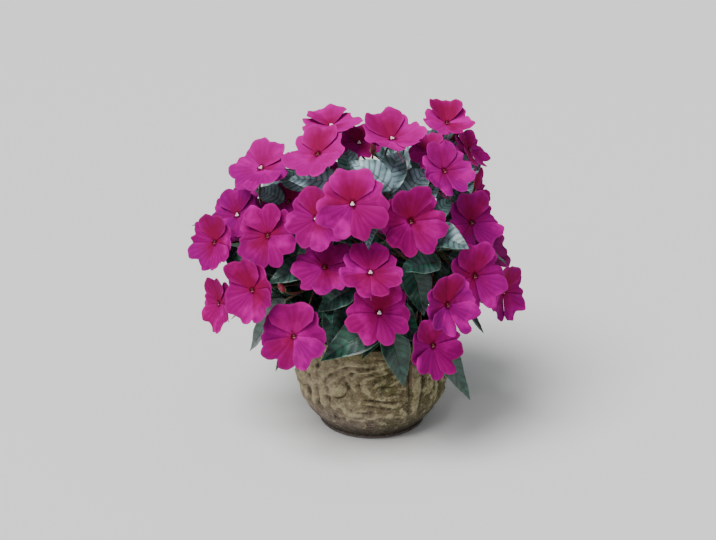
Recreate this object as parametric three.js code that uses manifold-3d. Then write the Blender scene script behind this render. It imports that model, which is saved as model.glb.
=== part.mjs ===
// Potted New Guinea impatiens: a carved bowl of weathered stone filled with soil, leafy stems
// that stand in holes in the soil, and one solid for each bloom at the end of its stalk.
// Millimetres, +Z up. The pot's underside is centred on the origin and the viewer is towards -Y.
import * as THREE from 'three';
import { mergeVertices } from 'three/addons/utils/BufferGeometryUtils.js';
import Module from 'manifold-3d';

const wasm = await Module();
wasm.setup();

// Pot and soil
const POT_HEIGHT = 110;
const POT_RADIUS = 81;
const FOOT_RADIUS = 55;
const POT_SIDES = 30;
const RELIEF_DEPTH = 1.6;
const DRAIN_RADIUS = 5;
const DRAIN_CIRCLE = 28;
const SOIL_TOP = 92;
const SOIL_SIDES = 15;
const CLEARANCE = 0.3;

// Pot profile as radius and height: outside from the foot to the lip, inside from the lip down
const POT_FLOOR = 9;
const POT_OUTSIDE = [
  [FOOT_RADIUS - 1, 0], [FOOT_RADIUS + 0.5, 2.5], [FOOT_RADIUS + 3, 8], [68, 20], [76, 35],
  [POT_RADIUS, 57], [79.5, 76], [75.5, 93], [75, 100], [77.5, 105], [75.5, POT_HEIGHT],
];
const POT_INSIDE = [
  [69.5, POT_HEIGHT], [67.5, 99], [71.5, 80], [73, 57], [68, 35], [58, 20], [41, POT_FLOOR],
];

// Leafy stems
const STEM_COUNT = 10;
const STEM_RADIUS = 4;
const STEM_TIP_RADIUS = 3;
const STEM_SIDES = 5;
const STEM_DEPTH = 22;
const STEM_STEPS = 4;
const CROWN_REACH = 0.58;
const FOOT_SPREAD = 0.36;
const STALK_RADIUS = 1.1;
const STALK_STEPS = 2;
const STALK_GAP = 0.9;
const ROOT_SHIFT = 1.5;
const CROWN_LENGTH = 2.5;
const WHORLS = [
  { along: 0.25, leaves: 4, lean: 88, length: 88, droop: 20, arch: 12 },
  { along: 0.5, leaves: 5, lean: 88, length: 88, droop: 14, arch: 9 },
  { along: 0.75, leaves: 4, lean: 80, length: 84, droop: 10, arch: 7 },
  { along: 1.0, leaves: 6, lean: 60, length: 76, droop: 7, arch: 7 },
];
const LOWEST_TIP = 106;
const LEAF_WIDTH = 33;
const LEAF_THICKNESS = 0.8;
const PETIOLE = 12;
const PETIOLE_RADIUS = 1.2;
const FRONT_STATIONS = [0.16, 0.45, 0.78];
const WHORL_STATIONS = [0.18, 0.62];

// Blooms
const BLOOM_DIAMETER = 70;
const PETAL_THICKNESS = 0.8;
const HUB_RADIUS = 2.6;
const HUB_FRONT = 3.2;
const HUB_BACK = 6.5;

// The rounded head of leaves and blooms
const CANOPY_CENTRE = new THREE.Vector3(-14, 5, 192);
const CANOPY_RADII = new THREE.Vector3(162, 145, 142);
const UP = new THREE.Vector3(0, 0, 1);

// The viewpoint from which the places of the visible blooms and leaves were read
const VIEW_ELEVATION = 22;
const VIEW_DISTANCE = 1600;
const VIEW_TARGET = new THREE.Vector3(-15, 0, 169);
const VIEW_FOCAL = 1530;
const VIEW_MIDDLE_X = 358;
const VIEW_MIDDLE_Y = 270;

// Each visible bloom: its eye in the picture, how far it looks right and up, the turn of its
// upper petal, its diameter and how deep a cup it makes, from the foremost to the hindmost
const FRONT_BLOOMS = [
  { x: 352.5, y: 204, yaw: -3, pitch: 5, spin: 0, size: 75, cup: 0.6 },
  { x: 411.5, y: 220.5, yaw: 22, pitch: -2, spin: 12, size: 80, cup: 1.8 },
  { x: 370.5, y: 273, yaw: 8, pitch: 34, spin: 0, size: 70, cup: 1.6 },
  { x: 294, y: 336, yaw: -12, pitch: -4, spin: 3, size: 74, cup: 0.9 },
  { x: 252, y: 290, yaw: -36, pitch: -4, spin: 12, size: 74, cup: 2.0 },
  { x: 379.5, y: 313, yaw: 3, pitch: 0, spin: -4, size: 69, cup: 0.7 },
  { x: 447.5, y: 305, yaw: 34, pitch: 2, spin: 16, size: 70, cup: 1.8 },
  { x: 432.5, y: 345, yaw: 34, pitch: -6, spin: 20, size: 72, cup: 1.8 },
  { x: 476.5, y: 276, yaw: 28, pitch: 2, spin: 10, size: 76, cup: 1.7 },
  { x: 475, y: 221, yaw: 26, pitch: 10, spin: 5, size: 67, cup: 1.6 },
  { x: 266.5, y: 235, yaw: -24, pitch: 4, spin: 8, size: 70, cup: 1.0 },
  { x: 215, y: 242, yaw: -38, pitch: 0, spin: -5, size: 64, cup: 2.0 },
  { x: 324, y: 267, yaw: -8, pitch: 27, spin: -20, size: 66, cup: 1.0 },
  { x: 318, y: 154, yaw: -28, pitch: 32, spin: 4, size: 70, cup: 1.6 },
  { x: 316, y: 218, yaw: -10, pitch: 8, spin: -8, size: 66, cup: 0.8 },
  { x: 444, y: 171, yaw: 32, pitch: 22, spin: 10, size: 65, cup: 2.0 },
  { x: 261, y: 168, yaw: -20, pitch: 37, spin: -16, size: 70, cup: 1.4 },
  { x: 331, y: 125, yaw: -8, pitch: 60, spin: 25, size: 67, cup: 1.4 },
  { x: 392, y: 139, yaw: 6, pitch: 48, spin: 24, size: 74, cup: 2.2 },
  { x: 447, y: 123, yaw: 5, pitch: 42, spin: 0, size: 58, cup: 2.2 },
  { x: 235, y: 214, yaw: -26, pitch: 16, spin: 10, size: 62, cup: 1.2 },
  { x: 219, y: 303, yaw: -54, pitch: -6, spin: 0, size: 62, cup: 1.4 },
  { x: 470, y: 149, yaw: 50, pitch: 30, spin: 0, size: 52, cup: 1.6 },
  { x: 480, y: 186, yaw: 60, pitch: 0, spin: 10, size: 54, cup: 1.4 },
  { x: 504, y: 292, yaw: 50, pitch: -8, spin: 0, size: 66, cup: 1.4 },
  { x: 286, y: 199, yaw: -26, pitch: 34, spin: 0, size: 58, cup: 0.8 },
  { x: 240, y: 192, yaw: -44, pitch: 30, spin: 0, size: 54, cup: 1.0 },
  { x: 429, y: 151, yaw: 10, pitch: 34, spin: 0, size: 48, cup: 1.2 },
  { x: 359, y: 139, yaw: 12, pitch: 30, spin: 0, size: 44, cup: 1.4 },
];
const REAR_BLOOMS = 12;
const REAR_SPACING = 55;
const REAR_REACH = 0.93;

// Each visible leaf: where its blade starts and where its tip is in the picture, how far both
// stand out towards the viewer from the head's surface, its width and its arch
const FRONT_LEAVES = [
  { x: 388, y: 322, tipX: 321, tipY: 361, lift: -45, tipLift: -4, width: 40, arch: 5 },
  { x: 388, y: 322, tipX: 404, tipY: 387, lift: -57, tipLift: 24, width: 32, arch: 6 },
  { x: 424, y: 330, tipX: 470, tipY: 400, lift: -34, tipLift: 14, width: 30, arch: 10 },
  { x: 286, y: 300, tipX: 250, tipY: 351, lift: -34, tipLift: -22, width: 30, arch: 6 },
  { x: 318, y: 262, tipX: 268, tipY: 284, lift: -58, tipLift: -22, width: 30, arch: 4 },
  { x: 340, y: 186, tipX: 288, tipY: 180, lift: -30, tipLift: -12, width: 30, arch: 7 },
  { x: 384, y: 196, tipX: 400, tipY: 151, lift: -34, tipLift: -30, width: 34, arch: 7 },
  { x: 402, y: 200, tipX: 430, tipY: 168, lift: -46, tipLift: -24, width: 32, arch: 5 },
  { x: 392, y: 190, tipX: 350, tipY: 162, lift: -26, tipLift: -12, width: 30, arch: 7 },
  { x: 424, y: 232, tipX: 469, tipY: 249, lift: -58, tipLift: -7, width: 33, arch: 4 },
  { x: 440, y: 262, tipX: 400, tipY: 272, lift: -34, tipLift: -16, width: 30, arch: 7 },
  { x: 410, y: 262, tipX: 424, tipY: 316, lift: -34, tipLift: -20, width: 32, arch: 7 },
  { x: 356, y: 288, tipX: 318, tipY: 312, lift: -36, tipLift: -24, width: 32, arch: 8 },
  { x: 385, y: 302, tipX: 420, tipY: 345, lift: -34, tipLift: -16, width: 31, arch: 4 },
  { x: 345, y: 298, tipX: 328, tipY: 346, lift: -58, tipLift: -16, width: 34, arch: 4 },
];

// Buds that show, by their place in the picture and their set-back from the head's surface
const BUDS = [
  { x: 373, y: 152, lift: -14 },
  { x: 284, y: 291, lift: -12 },
  { x: 454, y: 139, lift: -16 },
  { x: 347, y: 236, lift: -26 },
  { x: 404, y: 256, lift: -24 },
];

// Clearances for the layout: how close the middles of two sheets or stalks may come
const SHEET_BEAD = 3.6;
const FRONT_BEAD = 2.8;
const STALK_BEAD = 2.2;
const STEM_BEAD = 5;
const BUD_BEAD = 3.6;

// Seeded draw, so that every run gives the same plant
let seed = 20113;
function draw(low, high) {
  seed = (seed * 48271) % 2147483647;
  return low + ((high - low) * seed) / 2147483647;
}

const radians = (degrees) => (degrees * Math.PI) / 180;
const vec = (x, y, z) => new THREE.Vector3(x, y, z);
const mix = (a, b, t) => a.clone().lerp(b, t);
const along = (start, direction, distance) => start.clone().addScaledVector(direction, distance);

// The viewer's axes: right, up and back towards the viewer
const elevation = radians(VIEW_ELEVATION);
const VIEW_RIGHT = vec(1, 0, 0);
const VIEW_UP = vec(0, Math.sin(elevation), Math.cos(elevation));
const VIEW_BACK = vec(0, -Math.cos(elevation), Math.sin(elevation));
const VIEWPOINT = along(VIEW_TARGET, VIEW_BACK, VIEW_DISTANCE);

// Where the sight line through a picture point first meets the head, or comes closest to it
function onCanopy(x, y, lift) {
  const ray = VIEW_BACK.clone().multiplyScalar(-VIEW_FOCAL);
  ray.addScaledVector(VIEW_RIGHT, x - VIEW_MIDDLE_X).addScaledVector(VIEW_UP, VIEW_MIDDLE_Y - y);
  ray.normalize();
  const start = VIEWPOINT.clone().sub(CANOPY_CENTRE).divide(CANOPY_RADII);
  const step = ray.clone().divide(CANOPY_RADII);
  const a = step.dot(step);
  const b = start.dot(step);
  const c = start.dot(start) - 1;
  const root = Math.sqrt(Math.max(b * b - a * c, 0));
  return along(VIEWPOINT, ray, (-b - root) / a - lift);
}

// What is already placed, as beads: places, radii and the node that owns them
const beads = [];
function addBeads(points, radius, owner) {
  points.forEach((point) => beads.push({ point, radius, owner }));
}
function isClear(points, radius, owner, own = 0) {
  return points.every((point) => beads.every((bead) => {
    const reach = (radius + bead.radius) * (bead.owner === owner ? own : 1);
    return point.distanceToSquared(bead.point) >= reach * reach;
  }));
}
function clearOfPot(points) {
  return points.every((p) => p.z > POT_HEIGHT + 4 || Math.hypot(p.x, p.y) > POT_RADIUS + 5);
}

// Turns a closed three.js geometry into a solid for joining and cutting
function toSolid(geometry) {
  const plain = geometry.clone();
  plain.deleteAttribute('normal');
  plain.deleteAttribute('uv');
  const merged = mergeVertices(plain, 1e-4);
  return new wasm.Manifold(new wasm.Mesh({
    numProp: 3,
    vertProperties: new Float32Array(merged.attributes.position.array),
    triVerts: new Uint32Array(merged.index.array),
  }));
}

function toMesh(name, solid, material) {
  const { vertProperties, triVerts } = solid.getMesh();
  const geometry = new THREE.BufferGeometry();
  geometry.setAttribute('position', new THREE.BufferAttribute(vertProperties, 3));
  geometry.setIndex(new THREE.BufferAttribute(triVerts, 1));
  const mesh = new THREE.Mesh(geometry, material);
  mesh.name = name;
  return mesh;
}

// Round rod through points that lie in one plane: a cylinder whose rings are moved onto them
function rod(points, radii, sides) {
  const last = points.length - 1;
  const ends = points[last].clone().sub(points[0]);
  let binormal = points[1].clone().sub(points[0]).cross(ends);
  if (binormal.length() < 1e-6) {
    binormal = ends.clone().cross(Math.abs(ends.x) < Math.abs(ends.z) ? vec(1, 0, 0) : UP);
  }
  binormal.normalize();
  const geometry = new THREE.CylinderGeometry(1, 1, 1, sides, last);
  const position = geometry.attributes.position;
  for (let i = 0; i < position.count; i += 1) {
    const ring = Math.round((position.getY(i) + 0.5) * last);
    const tangent = points[Math.min(ring + 1, last)].clone().sub(points[Math.max(ring - 1, 0)]);
    const normal = tangent.normalize().cross(binormal);
    const place = along(points[ring], normal, position.getX(i) * radii[ring]);
    place.addScaledVector(binormal, position.getZ(i) * radii[ring]);
    position.setXYZ(i, place.x, place.y, place.z);
  }
  return toSolid(geometry);
}

// Closed sheet over rows of points, with the same triangles on both faces: each point has the
// half-thickness vector of its place
function sheet(rows, offsets) {
  const points = rows.flat();
  const halves = offsets.flat();
  const front = points.map((point, i) => point.clone().add(halves[i]));
  const back = points.map((point, i) => point.clone().sub(halves[i]));
  const starts = [];
  rows.reduce((start, row) => {
    starts.push(start);
    return start + row.length;
  }, 0);
  const triangles = [];
  for (let r = 0; r + 1 < rows.length; r += 1) {
    const lower = rows[r].length - 1;
    const upper = rows[r + 1].length - 1;
    let i = 0;
    let j = 0;
    while (i < lower || j < upper) {
      const a = starts[r] + i;
      const b = starts[r + 1] + j;
      if (j < upper && (i === lower || (j + 1) * lower <= (i + 1) * upper)) {
        triangles.push([a, b + 1, b]);
        j += 1;
      } else {
        triangles.push([a, a + 1, b]);
        i += 1;
      }
    }
  }
  const left = starts.slice().reverse();
  const right = rows.map((row, r) => starts[r] + row.length - 1);
  const first = rows[0].map((_, i) => i).slice(1, -1);
  const final = rows[rows.length - 1].map((_, i) => starts[rows.length - 1] + i).slice(1, -1).reverse();
  const rim = [...new Set([...first, ...right, ...final, ...left])];
  const count = points.length;
  const faces = triangles.flatMap(([a, b, c]) => [[a, b, c], [a + count, c + count, b + count]]);
  rim.forEach((a, i) => {
    const b = rim[(i + 1) % rim.length];
    faces.push([b, a, a + count], [b, a + count, b + count]);
  });
  const geometry = new THREE.BufferGeometry();
  const positions = [...front, ...back].flatMap((p) => [p.x, p.y, p.z]);
  geometry.setAttribute('position', new THREE.Float32BufferAttribute(positions, 3));
  geometry.setIndex(faces.flat());
  return toSolid(geometry);
}

// The five petals of a bloom, seen from the front: middle angle, half spread, length and layer
const PETALS = [
  { angle: 90, spread: 50, length: 1.0, layer: 1.9, notch: 0.1 },
  { angle: 17, spread: 41, length: 0.96, layer: -1.9, notch: 0.13 },
  { angle: 163, spread: 41, length: 0.96, layer: -1.9, notch: 0.13 },
  { angle: -50, spread: 43, length: 1.06, layer: 0.6, notch: 0.17 },
  { angle: -130, spread: 43, length: 1.06, layer: -0.6, notch: 0.17 },
];

// A place on a petal's middle surface, in the bloom's own axes: it looks along +Z and its
// upper petal points along +Y; s runs across the petal, clockwise from -1 to 1, t out along it
function petalPoint(bloom, petal, s, t) {
  const angle = radians(petal.angle - s * petal.spread);
  const side = Math.abs(s);
  const edge = (1 - 0.17 * side ** 3.2) * (1 - petal.notch * Math.exp(-((s / 0.3) ** 2)));
  const full = (bloom.size / 2) * petal.length * edge;
  const radius = 0.8 + (full - 0.8) * t;
  const out = radius / 35;
  const rise = bloom.cup * 6.5 * out * out - 2.6 * out ** 5;
  const ruffle = 1.3 * out * out * Math.sin(5 * angle + bloom.phase);
  const height = petal.layer + rise + ruffle - 0.4 * side * side * t;
  const squeeze = Math.sqrt(Math.max(1 - (0.08 * bloom.cup) * out * out, 0.3));
  return vec(Math.cos(angle) * radius * squeeze, Math.sin(angle) * radius * squeeze, height);
}

// Centre line of the room kept free for the thin curved spur behind a bloom
function spurPoints(bloom) {
  const scale = bloom.size / BLOOM_DIAMETER;
  const curve = new THREE.QuadraticBezierCurve3(
    vec(0, -0.8, -3), vec(0, -9 * scale, -6), vec(0, -24 * scale, -11 * scale));
  return curve.getPoints(3);
}

function bloomBeads(bloom) {
  const local = PETALS.flatMap((petal) => [0.4, 0.6, 0.8, 1].flatMap((t) => (
    [-0.9, -0.6, -0.3, 0, 0.3, 0.6, 0.9].map((s) => petalPoint(bloom, petal, s, t)))));
  const inner = PETALS.flatMap((petal) => [-0.5, 0.5].map((s) => petalPoint(bloom, petal, s, 0.2)));
  const points = [...local, ...inner, ...spurPoints(bloom).slice(1)];
  return points.map((point) => point.applyQuaternion(bloom.turn).add(bloom.centre));
}

// Turn that faces a bloom along a direction, with its upper petal up, then spun about it
function facing(direction, spin) {
  const upper = VIEW_UP.clone().addScaledVector(direction, -VIEW_UP.dot(direction)).normalize();
  const right = upper.clone().cross(direction);
  const turn = new THREE.Quaternion().setFromRotationMatrix(
    new THREE.Matrix4().makeBasis(right, upper, direction));
  return turn.multiply(new THREE.Quaternion().setFromAxisAngle(UP, radians(spin)));
}

// Moves a bloom back in small steps until its petals are clear of those already placed
function settle(bloom, away) {
  const step = 3;
  for (let i = 0; i < 24; i += 1) {
    if (isClear(bloomBeads(bloom), SHEET_BEAD, bloom.name)) {
      break;
    }
    bloom.centre.addScaledVector(away, step);
  }
  addBeads(bloomBeads(bloom), SHEET_BEAD, bloom.name);
  bloom.normal = UP.clone().applyQuaternion(bloom.turn);
  return bloom;
}

function bloomName(index) {
  return `bloom_${String(index + 1).padStart(2, '0')}`;
}

function layOutBlooms() {
  const blooms = FRONT_BLOOMS.map((row, index) => {
    const yaw = radians(row.yaw);
    const pitch = radians(row.pitch);
    const direction = VIEW_BACK.clone().multiplyScalar(Math.cos(pitch) * Math.cos(yaw));
    direction.addScaledVector(VIEW_RIGHT, Math.cos(pitch) * Math.sin(yaw));
    direction.addScaledVector(VIEW_UP, Math.sin(pitch));
    return settle({
      name: bloomName(index),
      centre: onCanopy(row.x, row.y, 0),
      turn: facing(direction, row.spin),
      size: row.size,
      cup: row.cup,
      phase: draw(0, 6.28),
    }, VIEW_BACK.clone().negate());
  });
  const golden = Math.PI * (3 - Math.sqrt(5));
  for (let i = 0; blooms.length < FRONT_BLOOMS.length + REAR_BLOOMS && i < 90; i += 1) {
    const height = 0.78 - (1.3 * i) / 90;
    const ring = Math.sqrt(1 - height * height);
    const outward = vec(ring * Math.cos(i * golden), ring * Math.sin(i * golden), height);
    const centre = along(CANOPY_CENTRE, outward.clone().multiply(CANOPY_RADII), REAR_REACH);
    const spaced = blooms.every((other) => other.centre.distanceTo(centre) > REAR_SPACING);
    if (outward.y > Math.max(0.3, 0.85 * height) && spaced) {
      const direction = outward.clone().divide(CANOPY_RADII).normalize();
      direction.add(vec(draw(-0.3, 0.3), draw(-0.3, 0.3), draw(0.05, 0.5))).normalize();
      blooms.push(settle({
        name: bloomName(blooms.length),
        centre,
        turn: facing(direction, draw(-25, 25)),
        size: draw(62, 74),
        cup: draw(0.5, 1.2),
        phase: draw(0, 6.28),
      }, outward.clone().negate()));
    }
  }
  return blooms;
}

// Stem centre line: upright in its hole, then curving out to its crown
function layOutStems() {
  const golden = Math.PI * (3 - Math.sqrt(5));
  return Array.from({ length: STEM_COUNT }, (_, index) => {
    const height = 0.9 - (1.28 * index) / (STEM_COUNT - 1);
    const ring = Math.sqrt(1 - height * height);
    const outward = vec(ring * Math.cos(index * golden), ring * Math.sin(index * golden), height);
    const crown = along(CANOPY_CENTRE, outward.clone().multiply(CANOPY_RADII), CROWN_REACH);
    const foot = vec(crown.x * FOOT_SPREAD, crown.y * FOOT_SPREAD, SOIL_TOP - STEM_DEPTH + CLEARANCE);
    const collar = vec(foot.x, foot.y, SOIL_TOP + 5);
    const bend = vec(foot.x, foot.y, SOIL_TOP + 5 + (crown.z - SOIL_TOP) * 0.45);
    bend.lerp(crown, 0.12);
    bend.x = foot.x + (bend.x - foot.x) * 0.5;
    bend.y = foot.y + (bend.y - foot.y) * 0.5;
    const curve = new THREE.QuadraticBezierCurve3(collar, bend, crown);
    const tip = along(crown, curve.getTangent(1), CROWN_LENGTH);
    const stem = {
      name: `leafy_stem_${String(index + 1).padStart(2, '0')}`,
      crown,
      curve,
      foot,
      points: [foot, ...curve.getPoints(STEM_STEPS), tip],
      stalks: [],
      leaves: [],
      buds: [],
    };
    addBeads(curve.getPoints(24), STEM_BEAD, stem.name);
    return stem;
  });
}

function nearestStem(stems, place) {
  return stems.reduce((best, stem) => (
    stem.crown.distanceTo(place) < best.crown.distanceTo(place) ? stem : best));
}

// Stalk from a stem's crown to the back of a bloom or bud, swung aside until it is clear
function layStalk(stem, end, normal, owner) {
  const length = stem.crown.distanceTo(end);
  const across = vec(0, 0, 1).cross(normal).normalize();
  const upward = normal.clone().cross(across);
  const ignored = [stem.name, owner];
  const obstacles = beads.filter((bead) => !ignored.includes(bead.owner));
  const tries = Array.from({ length: 41 }, (_, i) => {
    const swing = 0.055 * length * Math.sqrt(i);
    const bend = along(end, normal, -(0.4 - 0.004 * i) * length);
    bend.addScaledVector(across, swing * Math.cos(2.4 * i)).addScaledVector(upward, swing * Math.sin(2.4 * i));
    bend.lerp(stem.crown, 0.15);
    const start = along(stem.crown, bend.clone().sub(stem.crown).normalize(), ROOT_SHIFT);
    return new THREE.QuadraticBezierCurve3(start, bend, end);
  });
  const room = (curve) => Math.min(...stalkSamples(curve).map((point) => (
    Math.min(...obstacles.map((bead) => point.distanceTo(bead.point) - bead.radius - STALK_BEAD)))));
  let best = tries[0];
  let most = room(best);
  for (let i = 1; i < tries.length && most < 0; i += 1) {
    const space = room(tries[i]);
    if (space > most) {
      best = tries[i];
      most = space;
    }
  }
  addBeads(stalkSamples(best), STALK_BEAD, stem.name);
  return best.getPoints(STALK_STEPS);
}

function stalkSamples(curve) {
  return curve.getPoints(16).slice(1, -1);
}

// A place on a leaf's middle surface: s from -1 to 1 across the blade, t from 0 to 1 along it
function leafFrame(leaf, t) {
  const axis = leaf.tip.clone().sub(leaf.base);
  const place = along(leaf.base, axis, t).addScaledVector(leaf.face, 4 * leaf.arch * t * (1 - t));
  const tangent = axis.clone().addScaledVector(leaf.face, 4 * leaf.arch * (1 - 2 * t)).normalize();
  const side = tangent.clone().cross(leaf.face).normalize();
  return { place, side, normal: side.clone().cross(tangent) };
}

function leafWidth(leaf, t) {
  const swell = Math.sin(Math.PI * t ** 0.78);
  return (leaf.width / 2) * Math.max(swell, 0) ** 0.9 * (1 - 0.25 * t * t);
}

function leafPoint(leaf, s, t) {
  const { place, side, normal } = leafFrame(leaf, t);
  const half = leafWidth(leaf, t);
  const fold = 0.3 * half * Math.abs(s) ** 1.4;
  const wave = 1.3 * Math.abs(s) * Math.sin(14 * t + leaf.phase + (s < 0 ? 1.5 : 0)) * Math.min(half / 8, 1);
  return place.addScaledVector(side, s * half * 0.96).addScaledVector(normal, fold + wave);
}

function leafBeads(leaf) {
  const stations = [0.1, 0.2, 0.3, 0.4, 0.5, 0.6, 0.7, 0.8, 0.9];
  const body = stations.flatMap((t) => [-0.9, -0.45, 0, 0.45, 0.9].map((s) => leafPoint(leaf, s, t)));
  return [...body, leafPoint(leaf, 0, 0.03), leafPoint(leaf, 0, 1)];
}

function growLeaf(stem, leaf) {
  addBeads(leafBeads(leaf), SHEET_BEAD, stem.name);
  addBeads([0.3, 0.6, 0.9].map((t) => mix(leaf.root, leaf.base, t)), STALK_BEAD, stem.name);
  stem.leaves.push(leaf);
}

function leafFits(stem, leaf, bead) {
  const points = leafBeads(leaf);
  const petiole = [0.3, 0.6, 0.9].map((t) => mix(leaf.root, leaf.base, t));
  return clearOfPot(points) && isClear(points, bead, stem.name, 0.6)
    && isClear(petiole, STALK_BEAD, stem.name);
}

// Leaves that show in the picture, each on the nearest whorl of any stem
function layOutFrontLeaves(stems) {
  const joints = stems.flatMap((stem) => [0.25, 0.5, 0.75, 1].map((t) => (
    { stem, place: stem.curve.getPoint(t) })));
  FRONT_LEAVES.forEach((row) => {
    const base = onCanopy(row.x, row.y, row.lift);
    const joint = joints.reduce((best, other) => (
      other.place.distanceTo(base) < best.place.distanceTo(base) ? other : best));
    for (let i = 0; i < 12; i += 1) {
      const back = -3.5 * i;
      const start = onCanopy(row.x, row.y, row.lift + back * 0.5);
      const leaf = {
        root: along(joint.place, start.clone().sub(joint.place).normalize(), ROOT_SHIFT),
        base: start,
        tip: onCanopy(row.tipX, row.tipY, row.tipLift + back),
        face: VIEW_BACK.clone().addScaledVector(UP, 0.6).normalize(),
        width: row.width,
        arch: row.arch,
        phase: draw(0, 6.28),
        stations: FRONT_STATIONS,
      };
      if (leafFits(joint.stem, leaf, FRONT_BEAD)) {
        growLeaf(joint.stem, leaf);
        return;
      }
    }
  });
}

// Whorls of leaves up each stem: each leaf takes the first of its tries that is clear
function layOutWhorls(stems) {
  WHORLS.slice().reverse().forEach((whorl) => {
    stems.forEach((stem, index) => {
      const root = stem.curve.getPoint(whorl.along);
      const tangent = stem.curve.getTangent(whorl.along);
      const outward = root.clone().sub(CANOPY_CENTRE).normalize();
      const east = tangent.clone().cross(vec(0.2, 1, 0.1)).normalize();
      const north = tangent.clone().cross(east);
      for (let k = 0; k < whorl.leaves; k += 1) {
        for (let i = 0; i < 14; i += 1) {
          const turn = (2 * Math.PI * (k + draw(-0.4, 0.4))) / whorl.leaves + index;
          const lean = radians(whorl.lean + draw(-22, 26));
          const aim = tangent.clone().multiplyScalar(Math.cos(lean));
          aim.addScaledVector(east, Math.sin(lean) * Math.cos(turn));
          aim.addScaledVector(north, Math.sin(lean) * Math.sin(turn));
          const length = whorl.length * draw(0.85, 1.15) * (1 - 0.035 * i);
          const leaf = {
            root: along(root, aim, ROOT_SHIFT),
            base: along(root, aim, PETIOLE),
            tip: along(root, aim, PETIOLE + length).addScaledVector(UP, -whorl.droop * draw(0.4, 1.6)),
            face: UP.clone().addScaledVector(outward, 0.5).addScaledVector(aim, -0.2).normalize(),
            width: LEAF_WIDTH * draw(0.85, 1.12) * (1 - 0.02 * i),
            arch: whorl.arch * draw(0.6, 1.4),
            phase: draw(0, 6.28),
            stations: WHORL_STATIONS,
          };
          if (leaf.tip.z > LOWEST_TIP && leafFits(stem, leaf, SHEET_BEAD)) {
            growLeaf(stem, leaf);
            break;
          }
        }
      }
    });
  });
}

// Leaf: a narrow petiole rooted in the stem, then a folded, waved blade
function leafSolid(leaf) {
  const half = LEAF_THICKNESS / 2;
  const { stations } = leaf;
  const blade = stations.map((t) => [-1, 0, 1].map((s) => leafPoint(leaf, s, t)));
  const neck = leafFrame(leaf, 0);
  const petiole = leaf.base.clone().sub(leaf.root).normalize();
  const side = along(neck.side, petiole, -neck.side.dot(petiole)).normalize();
  const flat = side.clone().cross(petiole).multiplyScalar(half);
  const rows = [...blade, [leafPoint(leaf, 0, 1)]];
  const offsets = [...stations, 1].map((t, r) => (
    rows[r].map(() => leafFrame(leaf, t).normal.multiplyScalar(half))));
  if (leaf.root.distanceTo(leaf.base) > 1.6 * PETIOLE) {
    rows.unshift([-1, 1].map((s) => along(neck.place, side, s * PETIOLE_RADIUS)));
    offsets.unshift([flat, flat]);
  }
  rows.unshift([leaf.root]);
  offsets.unshift([flat]);
  return sheet(rows, offsets);
}

// Bud: a slim drop on its stalk
function budSolid(bud) {
  const profile = [[0, 0], [2.6, 4], [3.2, 8], [1.6, 13], [0, 15]];
  const lathe = new THREE.LatheGeometry(profile.map(([r, y]) => new THREE.Vector2(r, y)), 5);
  const turn = new THREE.Quaternion().setFromUnitVectors(vec(0, 1, 0), bud.normal);
  lathe.applyQuaternion(turn);
  const start = along(bud.place, bud.normal, -1);
  lathe.translate(start.x, start.y, start.z);
  return toSolid(lathe);
}

function stemSolid(stem) {
  const radii = stem.points.map((_, i) => (
    STEM_RADIUS + (STEM_TIP_RADIUS - STEM_RADIUS) * Math.max(i - 1, 0) / (STEM_STEPS + 1)));
  let solid = rod(stem.points, radii, STEM_SIDES);
  stem.stalks.forEach((points) => {
    solid = solid.add(rod(points, points.map(() => STALK_RADIUS), 3));
  });
  stem.leaves.forEach((leaf) => {
    solid = solid.add(leafSolid(leaf));
  });
  stem.buds.forEach((bud) => {
    solid = solid.add(budSolid(bud));
  });
  return solid;
}

// Bloom: five notched petals in layers on a short hub
function bloomSolid(bloom) {
  const hub = new THREE.CylinderGeometry(HUB_RADIUS * 0.7, HUB_RADIUS, HUB_FRONT + HUB_BACK, 3);
  hub.rotateX(Math.PI / 2);
  hub.translate(0, 0, (HUB_FRONT - HUB_BACK) / 2);
  let solid = toSolid(hub);
  const half = vec(0, 0, PETAL_THICKNESS / 2);
  PETALS.forEach((petal) => {
    const rows = [
      [petalPoint(bloom, petal, 0, 0)],
      [[-1, 0.98], [0, 0.5], [1, 0.98]].map(([s, t]) => petalPoint(bloom, petal, s, t)),
      [-0.55, 0, 0.55].map((s) => petalPoint(bloom, petal, s, 1)),
    ];
    solid = solid.add(sheet(rows, rows.map((row) => row.map(() => half))));
  });
  return solid;
}

// Carved relief on the pot's outside: scrolling strokes with knobs between them
function relief(angle, height) {
  const belt = Math.sin(Math.PI * Math.min(Math.max((height - 14) / 84, 0), 1));
  const scroll = Math.sin(5 * angle + 0.075 * height + 1.4 * Math.sin(3 * angle));
  const knobs = Math.sin(9 * angle - 0.5) * Math.cos(0.13 * height + 1);
  return RELIEF_DEPTH * belt * (0.65 * scroll + 0.45 * knobs);
}

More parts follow.
